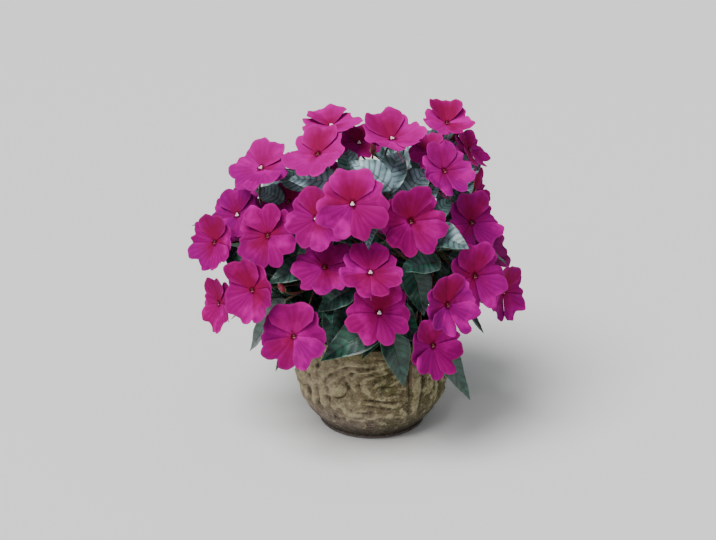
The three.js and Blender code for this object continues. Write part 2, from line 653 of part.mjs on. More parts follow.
function potSolid() {
  const profile = [[0, 0], ...POT_OUTSIDE, ...POT_INSIDE, [0, POT_FLOOR]]
    .map(([r, z]) => new THREE.Vector2(r, z));
  const lathe = new THREE.LatheGeometry(profile, POT_SIDES);
  lathe.rotateX(Math.PI / 2);
  const position = lathe.attributes.position;
  for (let i = 0; i < position.count; i += 1) {
    const [x, y, z] = [position.getX(i), position.getY(i), position.getZ(i)];
    const radius = Math.hypot(x, y);
    const outside = POT_OUTSIDE.some(([r, height]) => (
      Math.abs(r - radius) < 0.01 && Math.abs(height - z) < 0.01));
    if (outside && z > 6 && z < 100) {
      const scale = (radius + relief(Math.atan2(y, x), z)) / radius;
      position.setXYZ(i, x * scale, y * scale, z);
    }
  }
  let solid = toSolid(lathe);
  for (let k = 0; k < 3; k += 1) {
    const drain = new THREE.CylinderGeometry(DRAIN_RADIUS, DRAIN_RADIUS, 30, 8);
    drain.rotateX(Math.PI / 2);
    const angle = radians(30 + 120 * k);
    drain.translate(DRAIN_CIRCLE * Math.cos(angle), DRAIN_CIRCLE * Math.sin(angle), 0);
    solid = solid.subtract(toSolid(drain));
  }
  return solid;
}

function soilSolid(stems) {
  const side = POT_INSIDE.filter(([, z]) => z < SOIL_TOP).reverse();
  const wall = side.map(([r, z]) => [r - CLEARANCE - 0.1, z + CLEARANCE]);
  const floor = POT_FLOOR + CLEARANCE;
  const profile = [[0, floor], ...wall, [66, SOIL_TOP - 1], [40, SOIL_TOP], [0, SOIL_TOP]]
    .map(([r, z]) => new THREE.Vector2(r, z));
  const lathe = new THREE.LatheGeometry(profile, SOIL_SIDES);
  lathe.rotateX(Math.PI / 2);
  let solid = toSolid(lathe);
  stems.forEach((stem) => {
    const depth = STEM_DEPTH + 20;
    const hole = new THREE.CylinderGeometry(STEM_RADIUS + 0.75, STEM_RADIUS + 0.75, depth, 8);
    hole.rotateX(Math.PI / 2);
    hole.translate(stem.foot.x, stem.foot.y, SOIL_TOP - STEM_DEPTH + depth / 2);
    solid = solid.subtract(toSolid(hole));
  });
  return solid;
}

// Layout, from the blooms inwards
const blooms = layOutBlooms();
const stems = layOutStems();
layOutFrontLeaves(stems);
blooms.forEach((bloom) => {
  const end = along(bloom.centre, bloom.normal, -HUB_BACK - STALK_GAP);
  const stem = nearestStem(stems, end);
  stem.stalks.push(layStalk(stem, end, bloom.normal, bloom.name));
});
BUDS.forEach((row) => {
  const place = onCanopy(row.x, row.y, row.lift);
  const stem = nearestStem(stems, place);
  const normal = place.clone().sub(stem.crown).normalize().add(UP).normalize();
  const samples = () => [0, 5, 10, 15].map((rise) => along(place, normal, rise));
  for (let i = 0; i < 12 && !isClear(samples(), BUD_BEAD, stem.name); i += 1) {
    place.addScaledVector(VIEW_BACK, -3);
  }
  stem.stalks.push(layStalk(stem, place, normal, stem.name));
  stem.buds.push({ place, normal });
  addBeads(samples(), BUD_BEAD, stem.name);
});
layOutWhorls(stems);

// Materials
const stone = new THREE.MeshStandardMaterial({ color: '#8a8060', roughness: 0.9, metalness: 0 });
const earth = new THREE.MeshStandardMaterial({ color: '#2e2219', roughness: 1, metalness: 0 });
const leafGreen = new THREE.MeshStandardMaterial({ color: '#1f4033', roughness: 0.4, metalness: 0 });
const magenta = new THREE.MeshStandardMaterial({ color: '#b0047a', roughness: 0.6, metalness: 0 });

// The whole: pot, soil, leafy stems and blooms
const group = new THREE.Group();
group.add(toMesh('pot', potSolid(), stone));
group.add(toMesh('soil', soilSolid(stems), earth));
stems.forEach((stem) => group.add(toMesh(stem.name, stemSolid(stem), leafGreen)));
blooms.forEach((bloom) => {
  const mesh = toMesh(bloom.name, bloomSolid(bloom), magenta);
  mesh.position.copy(bloom.centre);
  mesh.quaternion.copy(bloom.turn);
  group.add(mesh);
});

export default group;
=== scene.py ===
import logging
import math
from dataclasses import dataclass, field, replace
from enum import Enum

import bpy
import numpy as np
from mathutils import Matrix, Vector, noise


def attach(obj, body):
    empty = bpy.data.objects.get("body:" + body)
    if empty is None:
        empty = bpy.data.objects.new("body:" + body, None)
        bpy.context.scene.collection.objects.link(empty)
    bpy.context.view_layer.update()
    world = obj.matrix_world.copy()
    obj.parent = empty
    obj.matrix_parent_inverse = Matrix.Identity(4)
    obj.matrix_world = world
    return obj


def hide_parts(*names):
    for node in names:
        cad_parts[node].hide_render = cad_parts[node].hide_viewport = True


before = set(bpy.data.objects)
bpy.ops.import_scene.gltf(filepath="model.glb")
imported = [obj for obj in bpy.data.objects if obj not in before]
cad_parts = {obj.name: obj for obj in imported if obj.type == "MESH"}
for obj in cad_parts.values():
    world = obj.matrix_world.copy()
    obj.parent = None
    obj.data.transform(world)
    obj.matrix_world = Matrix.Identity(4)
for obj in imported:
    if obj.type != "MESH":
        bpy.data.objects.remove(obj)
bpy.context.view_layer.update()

LOG = logging.getLogger("impatiens")
Array = np.ndarray
Material = bpy.types.Material
Piece = bpy.types.Object
Socket = bpy.types.NodeSocket
MM = 0.001
BODY = "root"
UP = np.array([0.0, 0.0, 1.0])

# The layout repeats the part's own rule, in millimetres, so that fine pieces lie where their solids do
POT_HEIGHT = 110.0
POT_RADIUS = 81.0
SOIL_TOP = 92.0
CLEARANCE = 0.3
STEM_COUNT = 10
STEM_RADIUS = 4.0
STEM_TIP_RADIUS = 3.0
STEM_DEPTH = 22.0
STEM_STEPS = 30
STALK_GAP = 0.9
ROOT_SHIFT = 1.5
CROWN_LENGTH = 2.5
CROWN_REACH = 0.58
FOOT_SPREAD = 0.36
LOWEST_TIP = 106.0
LEAF_WIDTH = 33.0
PETIOLE = 12.0
HUB_BACK = 6.5
BLOOM_DIAMETER = 70.0
REAR_BLOOMS = 12
REAR_TRIES = 90
REAR_TOP = 0.78
REAR_FALL = 1.3
REAR_SPACING = 55.0
REAR_REACH = 0.93
CROWN_TOP = 0.9
CROWN_FALL = 1.28
COLLAR_RISE = 5.0
SETTLE_STEPS = 24
SETTLE_STEP = 3.0
SWINGS = 41
FRONT_TRIES = 12
WHORL_TRIES = 14
FULL_TURN = 6.28
CANOPY_CENTRE = np.array([-14.0, 5.0, 192.0])
CANOPY_RADII = np.array([162.0, 145.0, 142.0])
GOLDEN = math.pi * (3 - math.sqrt(5))

# The petal's and the leaf's shape, in millimetres and in parts of their size
PETAL_BASE = 0.8
PETAL_CORNER = 0.17
PETAL_NOTCH_WIDTH = 0.3
PETAL_CUP = 6.5
PETAL_REFLEX = 2.6
PETAL_RUFFLE = 1.3
LEAF_FOLD = 0.3
LEAF_WAVE = 1.3
LEAF_SPREAD = 0.96

# The photograph's viewpoint
VIEW_ELEVATION = math.radians(22)
VIEW_DISTANCE = 1600.0
VIEW_TARGET = np.array([-15.0, 0.0, 169.0])
VIEW_FOCAL = 1530.0
PICTURE_WIDTH = 716
PICTURE_HEIGHT = 540
SENSOR_WIDTH = 36.0
VIEW_RIGHT = np.array([1.0, 0.0, 0.0])
VIEW_UP = np.array([0.0, math.sin(VIEW_ELEVATION), math.cos(VIEW_ELEVATION)])
VIEW_BACK = np.array([0.0, -math.cos(VIEW_ELEVATION), math.sin(VIEW_ELEVATION)])
VIEWPOINT = VIEW_TARGET + VIEW_BACK * VIEW_DISTANCE
# Where the leaves that show in the picture look
LEAF_FACE = VIEW_BACK + UP * 0.6
LEAF_FACE /= np.linalg.norm(LEAF_FACE)

# Bead radii of the clearance test
SHEET_BEAD = 3.6
FRONT_BEAD = 2.8
STALK_BEAD = 2.2
STEM_BEAD = 5.0
BUD_BEAD = 3.6
FILL_BEAD = 2.4
FILL_TRIES = 100
FILL_REACH = 0.93


class Eye(Enum):
    """What shows at the middle of a bloom."""

    CAP = "pale cap over the throat"
    # The throat's dark colour is painted shade of its opening, with brown marks
    THROAT = "open dark throat"


@dataclass(frozen=True)
class BloomRow:
    """A visible bloom: its eye in the picture, how far it looks right and up, its turn, size and cup."""

    x: float
    y: float
    yaw: float
    pitch: float
    spin: float
    size: float
    cup: float
    eye: Eye = Eye.THROAT


@dataclass(frozen=True)
class LeafRow:
    """A visible leaf: its base and tip in the picture, how far they stand out, its width and arch."""

    x: float
    y: float
    tip_x: float
    tip_y: float
    lift: float
    tip_lift: float
    width: float
    arch: float


@dataclass(frozen=True)
class Whorl:
    """A ring of leaves round a stem: its place along the stem, its count and how the leaves hang."""

    along: float
    leaves: int
    lean: float
    length: float
    droop: float
    arch: float


@dataclass(frozen=True)
class Petal:
    """One of a bloom's five petals, in degrees and in parts of the bloom's radius."""

    angle: float
    spread: float
    length: float
    layer: float
    notch: float


FRONT_BLOOMS = tuple(BloomRow(*row) for row in (
    (352.5, 204, -3, 5, 0, 75, 0.6, Eye.CAP),
    (411.5, 220.5, 22, -2, 12, 80, 1.8),
    (370.5, 273, 8, 34, 0, 70, 1.6, Eye.CAP),
    (294, 336, -12, -4, 3, 74, 0.9),
    (252, 290, -36, -4, 12, 74, 2.0),
    (379.5, 313, 3, 0, -4, 69, 0.7, Eye.CAP),
    (447.5, 305, 34, 2, 16, 70, 1.8),
    (432.5, 345, 34, -6, 20, 72, 1.8),
    (476.5, 276, 28, 2, 10, 76, 1.7),
    (475, 221, 26, 10, 5, 67, 1.6),
    (266.5, 235, -24, 4, 8, 70, 1.0),
    (215, 242, -38, 0, -5, 64, 2.0),
    (324, 267, -8, 27, -20, 66, 1.0),
    (318, 154, -28, 32, 4, 70, 1.6),
    (316, 218, -10, 8, -8, 66, 0.8, Eye.CAP),
    (444, 171, 32, 22, 10, 65, 2.0),
    (261, 168, -20, 37, -16, 70, 1.4, Eye.CAP),
    (331, 125, -8, 60, 25, 67, 1.4, Eye.CAP),
    (392, 139, 6, 48, 24, 74, 2.2, Eye.CAP),
    (447, 123, 5, 42, 0, 58, 2.2),
    (235, 214, -26, 16, 10, 62, 1.2, Eye.CAP),
    (219, 303, -54, -6, 0, 62, 1.4),
    (470, 149, 50, 30, 0, 52, 1.6),
    (480, 186, 60, 0, 10, 54, 1.4),
    (504, 292, 50, -8, 0, 66, 1.4),
    (286, 199, -26, 34, 0, 58, 0.8),
    (240, 192, -44, 30, 0, 54, 1.0),
    (429, 151, 10, 34, 0, 48, 1.2, Eye.CAP),
    (359, 139, 12, 30, 0, 44, 1.4, Eye.CAP),
))
FRONT_LEAVES = tuple(LeafRow(*row) for row in (
    (388, 322, 321, 361, -45, -4, 40, 5),
    (388, 322, 404, 387, -57, 24, 32, 6),
    (424, 330, 470, 400, -34, 14, 30, 10),
    (286, 300, 250, 351, -34, -22, 30, 6),
    (318, 262, 268, 284, -58, -22, 30, 4),
    (340, 186, 288, 180, -30, -12, 30, 7),
    (384, 196, 400, 151, -34, -30, 34, 7),
    (402, 200, 430, 168, -46, -24, 32, 5),
    (392, 190, 350, 162, -26, -12, 30, 7),
    (424, 232, 469, 249, -58, -7, 33, 4),
    (440, 262, 400, 272, -34, -16, 30, 7),
    (410, 262, 424, 316, -34, -20, 32, 7),
    (356, 288, 318, 312, -36, -24, 32, 8),
    (385, 302, 420, 345, -34, -16, 31, 4),
    (345, 298, 328, 346, -58, -16, 34, 4),
))
# Small leaves deep in the head, which close gaps between the blooms
DEEP_LEAVES = tuple(LeafRow(*row) for row in (
    (440, 182, 473, 154, -56, -40, 26, 4),
    (302, 292, 262, 277, -66, -52, 28, 5),
    (352, 178, 343, 146, -62, -50, 24, 4),
    (412, 206, 440, 184, -66, -52, 28, 5),
    (304, 190, 277, 173, -62, -50, 24, 4),
    (424, 292, 393, 284, -96, -80, 28, 4),
    (428, 286, 454, 263, -92, -80, 28, 4),
    (284, 202, 255, 190, -62, -50, 24, 4),
    (452, 202, 474, 181, -66, -52, 22, 4),
    (316, 300, 280, 296, -80, -60, 26, 5),
    (352, 240, 338, 204, -80, -70, 30, 5),
    (408, 216, 382, 188, -54, -46, 26, 4),
    (428, 222, 452, 200, -64, -54, 24, 4),
    (430, 180, 410, 160, -60, -52, 24, 4),
    (452, 190, 474, 166, -60, -48, 22, 3),
    (246, 262, 226, 262, -44, -30, 20, 3),
    (438, 160, 464, 136, -60, -50, 26, 3),
    (456, 184, 482, 158, -52, -44, 22, 3),
    (384, 258, 366, 230, -70, -62, 26, 4),
    (412, 302, 391, 279, -80, -70, 26, 4),
    (440, 284, 463, 257, -80, -66, 26, 3),
    (244, 272, 224, 244, -44, -34, 22, 3),
    (424, 152, 456, 128, -70, -60, 30, 3),
    (428, 276, 452, 247, -104, -92, 32, 3),
    (340, 262, 328, 238, -84, -74, 24, 3),
))
BUDS = (
    (373, 152, -14),
    (284, 291, -12),
    (454, 139, -16),
    (347, 236, -26),
    (404, 256, -24),
)
# A flower stalk that has lost its flower and hangs over the rim: the place that pulls it, and its end
SPENT_STALK = (np.array([39.0, -86.0, 186.0]), np.array([39.5, -80.0, 72.0]))
WHORLS = (
    Whorl(0.25, 4, 88, 88, 20, 12),
    Whorl(0.5, 5, 88, 88, 14, 9),
    Whorl(0.75, 4, 80, 84, 10, 7),
    Whorl(1.0, 6, 60, 76, 7, 7),
)
JOINTS = tuple(whorl.along for whorl in WHORLS)
PETALS = (
    Petal(90, 50, 1.0, 1.9, 0.1),
    Petal(17, 41, 0.96, -1.9, 0.13),
    Petal(163, 41, 0.96, -1.9, 0.13),
    Petal(-50, 43, 1.06, 0.6, 0.17),
    Petal(-130, 43, 1.06, -0.6, 0.17),
)


def unit(vector: Array) -> Array:
    """Returns the vector at length one."""
    return vector / np.linalg.norm(vector)


def spiral_direction(index: int, height: float) -> Array:
    """Returns the unit direction at a height on the spiral that spreads places evenly round a ball."""
    ring = math.sqrt(1 - height * height)
    return np.array([ring * math.cos(index * GOLDEN), ring * math.sin(index * GOLDEN), height])


class Draws:
    """The seeded draw that the part's source uses."""

    def __init__(self, seed: int = 20113) -> None:
        """Starts the series with its first state."""
        self.state = seed

    def draw(self, low: float, high: float) -> float:
        """Returns the next number of the series, from low to high."""
        self.state = (self.state * 48271) % 2147483647
        return low + ((high - low) * self.state) / 2147483647


@dataclass
class Curve:
    """A quadratic curve from start to end, pulled towards bend."""

    start: Array
    bend: Array
    end: Array

    def point(self, t: float) -> Array:
        """Returns the place at t, from 0 to 1."""
        k = 1 - t
        return k * k * self.start + 2 * k * t * self.bend + t * t * self.end

    def points(self, steps: int) -> Array:
        """Returns steps + 1 places, evenly spaced in t."""
        return np.array([self.point(i / steps) for i in range(steps + 1)])

    def tangent(self, t: float) -> Array:
        """Returns the unit direction at t, from a small difference."""
        low, high = max(t - 0.0001, 0), min(t + 0.0001, 1)
        return unit(self.point(high) - self.point(low))


@dataclass
class Bloom:
    """A bloom's place, turn, size and shape."""

    name: str
    centre: Array
    turn: Array
    size: float
    cup: float
    phase: float
    eye: Eye = Eye.THROAT

    @property
    def normal(self) -> Array:
        """The direction that the bloom looks in."""
        return self.turn[:, 2]

    def petal_points(self, petal: Petal, s: Array, t: Array) -> Array:
        """Returns places on a petal's middle surface, in the bloom's own axes.

        Args:
            petal: The petal.
            s: Places across it, clockwise from -1 to 1.
            t: Places out along it, from 0 to 1.

        Returns:
            Places with the shape of s and t and a last axis of three.
        """
        angle = np.radians(petal.angle - s * petal.spread)
        side = np.abs(s)
        dip = petal.notch * np.exp(-((s / PETAL_NOTCH_WIDTH) ** 2))
        full = (self.size / 2) * petal.length * ((1 - PETAL_CORNER * side**3.2) * (1 - dip))
        radius = PETAL_BASE + (full - PETAL_BASE) * t
        out = radius / (BLOOM_DIAMETER / 2)
        rise = self.cup * PETAL_CUP * out * out - PETAL_REFLEX * out**5
        ruffle = PETAL_RUFFLE * out * out * np.sin(5 * angle + self.phase)
        height = petal.layer + rise + ruffle - 0.4 * side * side * t
        squeeze = np.sqrt(np.maximum(1 - 0.08 * self.cup * out * out, 0.3))
        return np.stack([np.cos(angle) * radius * squeeze, np.sin(angle) * radius * squeeze, height], -1)

    def spoke(self, degrees: float) -> Array:
        """Returns the direction in the bloom's plane at an angle from its right, towards its top."""
        angle = math.radians(degrees)
        return self.turn[:, 0] * math.cos(angle) + self.turn[:, 1] * math.sin(angle)

    def spur_curve(self) -> Curve:
        """Returns the centre line of the spur, in the bloom's own axes."""
        scale = self.size / BLOOM_DIAMETER
        return Curve(*np.array([[0, -0.8, -3.0], [0, -9 * scale, -6.0], [0, -24 * scale, -11 * scale]]))

    def bead_points(self) -> Array:
        """Returns the places that stand for the bloom in the clearance test.

        Returns:
            One row for each place.
        """
        across = np.array([-0.9, -0.6, -0.3, 0, 0.3, 0.6, 0.9])
        s, t = np.meshgrid(across, [0.4, 0.6, 0.8, 1.0])
        inner = np.array([-0.5, 0.5])
        rows = [self.petal_points(petal, s, t).reshape(-1, 3) for petal in PETALS]
        rows += [self.petal_points(petal, inner, np.full(2, 0.2)) for petal in PETALS]
        rows.append(self.spur_curve().points(3)[1:])
        return np.concatenate(rows) @ self.turn.T + self.centre


@dataclass
class Leaf:
    """A leaf's root, the base and tip of its blade, and the blade's shape."""

    root: Array
    base: Array
    tip: Array
    face: Array
    width: float
    arch: float
    phase: float

    def frames(self, t: Array) -> tuple[Array, Array, Array]:
        """Finds how the blade lies along its midrib.

        Args:
            t: Places along it, from 0 to 1.

        Returns:
            The midrib's places, the directions across the blade and its normals.
        """
        t = np.asarray(t, float)[..., None]
        axis = self.tip - self.base
        place = self.base + axis * t + self.face * (4 * self.arch * t * (1 - t))
        tangent = axis + self.face * (4 * self.arch * (1 - 2 * t))
        tangent /= np.linalg.norm(tangent, axis=-1, keepdims=True)
        side = np.cross(tangent, self.face)
        side /= np.linalg.norm(side, axis=-1, keepdims=True)
        return place, side, np.cross(side, tangent)

    def half_width(self, t: Array) -> Array:
        """Returns half the blade's width at t."""
        swell = np.maximum(np.sin(np.pi * t**0.78), 0)
        return (self.width / 2) * swell**0.9 * (1 - 0.25 * t * t)

    def rise(self, s: Array, t: Array, half: Array) -> Array:
        """Returns how far the blade stands above its midrib, where half is half its width."""
        side, swing = np.abs(s), np.sin(14 * t + self.phase + np.where(s < 0, 1.5, 0))
        return LEAF_FOLD * half * side**1.4 + LEAF_WAVE * side * swing * np.minimum(half / 8, 1)

    def points(self, s: Array, t: Array) -> Array:
        """Finds places on the blade's middle surface.

        Args:
            s: Places across the blade, from -1 to 1.
            t: Places along it, from 0 to 1.

        Returns:
            Places with the shape of s and t and a last axis of three.
        """
        place, side, normal = self.frames(t)
        half = self.half_width(t)
        reach = s * half * LEAF_SPREAD
        return place + side * reach[..., None] + normal * self.rise(s, t, half)[..., None]

    def bead_points(self) -> Array:
        """Returns the places that stand for the blade in the clearance test."""
        s, t = np.meshgrid([-0.9, -0.45, 0, 0.45, 0.9], [0.1, 0.2, 0.3, 0.4, 0.5, 0.6, 0.7, 0.8, 0.9])
        return np.vstack([self.points(s, t).reshape(-1, 3), self.points(np.zeros(2), np.array([0.03, 1.0]))])

    def petiole_points(self) -> Array:
        """Returns the places that stand for the petiole in the clearance test."""
        t = np.array([0.3, 0.6, 0.9])[:, None]
        return self.root + (self.base - self.root) * t


@dataclass
class Stem:
    """A leafy stem: its crown, foot and centre line, and what grows on it."""

    name: str
    crown: Array
    foot: Array
    curve: Curve
    stalks: list[Curve] = field(default_factory=list)
    leaves: list[Leaf] = field(default_factory=list)
    buds: list[tuple[Array, Array]] = field(default_factory=list)


class Beads:
    """What is already placed, as places with radii and the node that owns them."""

    def __init__(self) -> None:
        """Starts with nothing placed."""
        self.points = np.zeros((0, 3))
        self.radii = np.zeros(0)
        self.owners = np.zeros(0, int)
        self.numbers: dict[str, int] = {}

    def add(self, points: Array, radius: float, owner: str) -> None:
        """Adds beads.

        Args:
            points: Their places.
            radius: Their radius.
            owner: The node that they belong to.
        """
        self.points = np.concatenate([self.points, points])
        self.radii = np.concatenate([self.radii, np.full(len(points), radius)])
        self.owners = np.concatenate([self.owners, np.full(len(points), self.number(owner))])

    def number(self, owner: str) -> int:
        """Returns the number that stands for a node."""
        return self.numbers.setdefault(owner, len(self.numbers))

    def owned(self, *names: str) -> Array:
        """Returns which beads belong to the named nodes."""
        return np.isin(self.owners, [self.number(name) for name in names])

    def is_clear(self, points: Array, radius: float, owner: str, own: float = 0.0) -> bool:
        """Says whether new beads are clear of all that is placed.

        Args:
            points: The new beads' places.
            radius: Their radius.
            owner: Their node.
            own: The part of the clearance that beads of the same node keep.

        Returns:
            True if they are clear.
        """
        margin = radius + STEM_BEAD
        low, high = points.min(0) - margin, points.max(0) + margin
        near = ((self.points > low) & (self.points < high)).all(1)
        same = self.owners[near] == self.number(owner)
        reach = (radius + self.radii[near]) * np.where(same, own, 1.0)
        squares = ((points[:, None] - self.points[near][None]) ** 2).sum(-1)
        return bool((squares >= reach[None] ** 2).all())


def on_canopy(x: float, y: float, lift: float) -> Array:
    """Finds where a picture point's sight line meets the head of the plant, or comes closest to it.

    Args:
        x: The point's column in the picture.
        y: The point's row in the picture.
        lift: How far the place stands out towards the viewer.

    Returns:
        The place, in millimetres.
    """
    ray = VIEW_BACK * -VIEW_FOCAL + VIEW_RIGHT * (x - PICTURE_WIDTH / 2) + VIEW_UP * (PICTURE_HEIGHT / 2 - y)
    ray = unit(ray)
    start = (VIEWPOINT - CANOPY_CENTRE) / CANOPY_RADII
    step = ray / CANOPY_RADII
    a, b, c = step @ step, start @ step, start @ start - 1
    root = math.sqrt(max(b * b - a * c, 0))
    return VIEWPOINT + ray * ((-b - root) / a - lift)


def facing(direction: Array, spin: float) -> Array:
    """Returns the turn that faces a bloom along a direction, upper petal up, then spun about it.

    Args:
        direction: The unit direction that the bloom looks in.
        spin: The turn about it, in degrees.

    Returns:
        A matrix of three columns: right, up and out.
    """
    upper = unit(VIEW_UP - direction * (VIEW_UP @ direction))
    right = np.cross(upper, direction)
    c, s = math.cos(math.radians(spin)), math.sin(math.radians(spin))
    return np.column_stack([right, upper, direction]) @ np.array([[c, -s, 0], [s, c, 0], [0, 0, 1]])


def clear_of_pot(points: Array) -> bool:
    """Says whether places stay above the pot or outside it."""
    outside = np.hypot(points[:, 0], points[:, 1]) > POT_RADIUS + 5
    return bool(((points[:, 2] > POT_HEIGHT + 4) | outside).all())


class Layout:
    """Places every bloom, stem, stalk, bud and leaf by the same rule as the part's source."""

    def __init__(self) -> None:
        """Lays the plant out, from the blooms inwards."""
        self.draws = Draws()
        self.beads = Beads()
        self.blooms: list[Bloom] = []
        self.lay_out_front_blooms()
        self.lay_out_rear_blooms()
        self.stems = [self.lay_out_stem(index) for index in range(STEM_COUNT)]
        self.lay_out_front_leaves()
        for bloom in self.blooms:
            end = bloom.centre - bloom.normal * (HUB_BACK + STALK_GAP)
            stem = self.nearest_stem(end)
            stem.stalks.append(self.lay_stalk(stem, end, bloom.normal, bloom.name))
        for row in BUDS:
            self.lay_out_bud(row)
        self.lay_out_whorls()

    def settle(self, bloom: Bloom, away: Array) -> None:
        """Moves a bloom back in small steps until it is clear, and keeps it.

        Args:
            bloom: The bloom.
            away: The unit direction of the steps.
        """
        for _ in range(SETTLE_STEPS):
            if self.beads.is_clear(bloom.bead_points(), SHEET_BEAD, bloom.name):
                break
            bloom.centre = bloom.centre + away * SETTLE_STEP
        self.beads.add(bloom.bead_points(), SHEET_BEAD, bloom.name)
        self.blooms.append(bloom)

    def next_name(self) -> str:
        """Returns the node name of the next bloom."""
        return f"bloom_{len(self.blooms) + 1:02d}"

    def lay_out_front_blooms(self) -> None:
        """Places the visible blooms by the picture."""
        for row in FRONT_BLOOMS:
            yaw, pitch = math.radians(row.yaw), math.radians(row.pitch)
            direction = VIEW_BACK * (math.cos(pitch) * math.cos(yaw))
            direction = direction + VIEW_RIGHT * (math.cos(pitch) * math.sin(yaw)) + VIEW_UP * math.sin(pitch)
            centre = on_canopy(row.x, row.y, 0)
            turn = facing(direction, row.spin)
            phase = self.draws.draw(0, FULL_TURN)
            self.settle(Bloom(self.next_name(), centre, turn, row.size, row.cup, phase, row.eye), -VIEW_BACK)

    def lay_out_rear_blooms(self) -> None:
        """Places the rear blooms by a spiral rule."""
        draw = self.draws.draw
        for i in range(REAR_TRIES):
            if len(self.blooms) >= len(FRONT_BLOOMS) + REAR_BLOOMS:
                break
            height = REAR_TOP - (REAR_FALL * i) / REAR_TRIES
            outward = spiral_direction(i, height)
            centre = CANOPY_CENTRE + outward * CANOPY_RADII * REAR_REACH
            spaced = all(np.linalg.norm(other.centre - centre) > REAR_SPACING for other in self.blooms)
            if outward[1] > max(0.3, 0.85 * height) and spaced:
                direction = unit(outward / CANOPY_RADII)
                direction = unit(direction + np.array([draw(-0.3, 0.3), draw(-0.3, 0.3), draw(0.05, 0.5)]))
                turn = facing(direction, draw(-25, 25))
                size, cup, phase = draw(62, 74), draw(0.5, 1.2), draw(0, FULL_TURN)
                eye = Eye.CAP if i % 3 == 0 else Eye.THROAT
                self.settle(Bloom(self.next_name(), centre, turn, size, cup, phase, eye), -outward)

    def lay_out_stem(self, index: int) -> Stem:
        """Lays out a stem, upright in its hole and then curving out to its crown.

        Args:
            index: The stem's number, from 0.

        Returns:
            The stem.
        """
        outward = spiral_direction(index, CROWN_TOP - (CROWN_FALL * index) / (STEM_COUNT - 1))
        crown = CANOPY_CENTRE + outward * CANOPY_RADII * CROWN_REACH
        foot = np.array([crown[0] * FOOT_SPREAD, crown[1] * FOOT_SPREAD, SOIL_TOP - STEM_DEPTH + CLEARANCE])
        collar = np.array([foot[0], foot[1], SOIL_TOP + COLLAR_RISE])
        bend = np.array([foot[0], foot[1], SOIL_TOP + COLLAR_RISE + (crown[2] - SOIL_TOP) * 0.45])
        bend = bend + (crown - bend) * 0.12
        bend[:2] = foot[:2] + (bend[:2] - foot[:2]) * 0.5
        stem = Stem(f"leafy_stem_{index + 1:02d}", crown, foot, Curve(collar, bend, crown))
        self.beads.add(stem.curve.points(24), STEM_BEAD, stem.name)
        return stem

    def nearest_stem(self, place: Array) -> Stem:
        """Returns the stem whose crown is nearest to a place."""
        return min(self.stems, key=lambda stem: float(np.linalg.norm(stem.crown - place)))

    def nearest_joint(self, place: Array, joints: tuple = JOINTS) -> tuple[Stem, Array]:
        """Returns the stem and place of the joint that is nearest to a place."""
        found = [(stem, stem.curve.point(t)) for stem in self.stems for t in joints]
        return min(found, key=lambda joint: float(np.linalg.norm(joint[1] - place)))

    def lay_stalk(self, stem: Stem, end: Array, normal: Array, owner: str) -> Curve:
        """Lays a stalk from a crown to the back of a bloom or bud, swung aside until it is clear.

        Args:
            stem: The stem that it grows from.
            end: Where it ends.
            normal: The direction in which it ends.
            owner: The node of the bloom or bud.

        Returns:
            The stalk's centre line.
        """
        length = float(np.linalg.norm(stem.crown - end))
        across = unit(np.cross(UP, normal))
        upward = np.cross(normal, across)
        others = ~self.beads.owned(stem.name, owner)
        points, radii = self.beads.points[others], self.beads.radii[others]
        best, most = None, -math.inf
        for i in range(SWINGS):
            swing = 0.055 * length * math.sqrt(i)
            bend = end - normal * ((0.4 - 0.004 * i) * length)
            bend = bend + across * (swing * math.cos(2.4 * i)) + upward * (swing * math.sin(2.4 * i))
            bend = bend + (stem.crown - bend) * 0.15
            curve = Curve(stem.crown + unit(bend - stem.crown) * ROOT_SHIFT, bend, end)
            samples = curve.points(16)[1:-1]
            gaps = np.linalg.norm(samples[:, None] - points[None], axis=-1) - radii[None] - STALK_BEAD
            if gaps.min() > most:
                best, most = curve, float(gaps.min())
            if most >= 0:
                break
        self.beads.add(best.points(16)[1:-1], STALK_BEAD, stem.name)
        return best

    def fits(self, stem: Stem, leaf: Leaf, bead: float) -> bool:
        """Says whether a leaf is clear of the pot and of all that is placed.

        Args:
            stem: The stem that it would grow on.
            leaf: The leaf.
            bead: The radius of its beads.

        Returns:
            True if it is clear.
        """
        points = leaf.bead_points()
        return (
            clear_of_pot(points)
            and self.beads.is_clear(points, bead, stem.name, 0.6)
            and self.beads.is_clear(leaf.petiole_points(), STALK_BEAD, stem.name)
        )

    def grow(self, stem: Stem, leaf: Leaf) -> None:
        """Keeps a leaf on its stem.

        Args:
            stem: The stem.
            leaf: The leaf.
        """
        self.beads.add(leaf.bead_points(), SHEET_BEAD, stem.name)
        self.beads.add(leaf.petiole_points(), STALK_BEAD, stem.name)
        stem.leaves.append(leaf)

    def lay_out_front_leaves(self) -> None:
        """Places the leaves that show in the picture, each on the nearest whorl of any stem."""
        for row in FRONT_LEAVES:
            stem, place = self.nearest_joint(on_canopy(row.x, row.y, row.lift))
            for i in range(FRONT_TRIES):
                back = -3.5 * i
                start = on_canopy(row.x, row.y, row.lift + back * 0.5)
                tip = on_canopy(row.tip_x, row.tip_y, row.tip_lift + back)
                root = place + unit(start - place) * ROOT_SHIFT
                leaf = Leaf(root, start, tip, LEAF_FACE, row.width, row.arch, self.draws.draw(0, FULL_TURN))
                if self.fits(stem, leaf, FRONT_BEAD):
                    self.grow(stem, leaf)
                    break

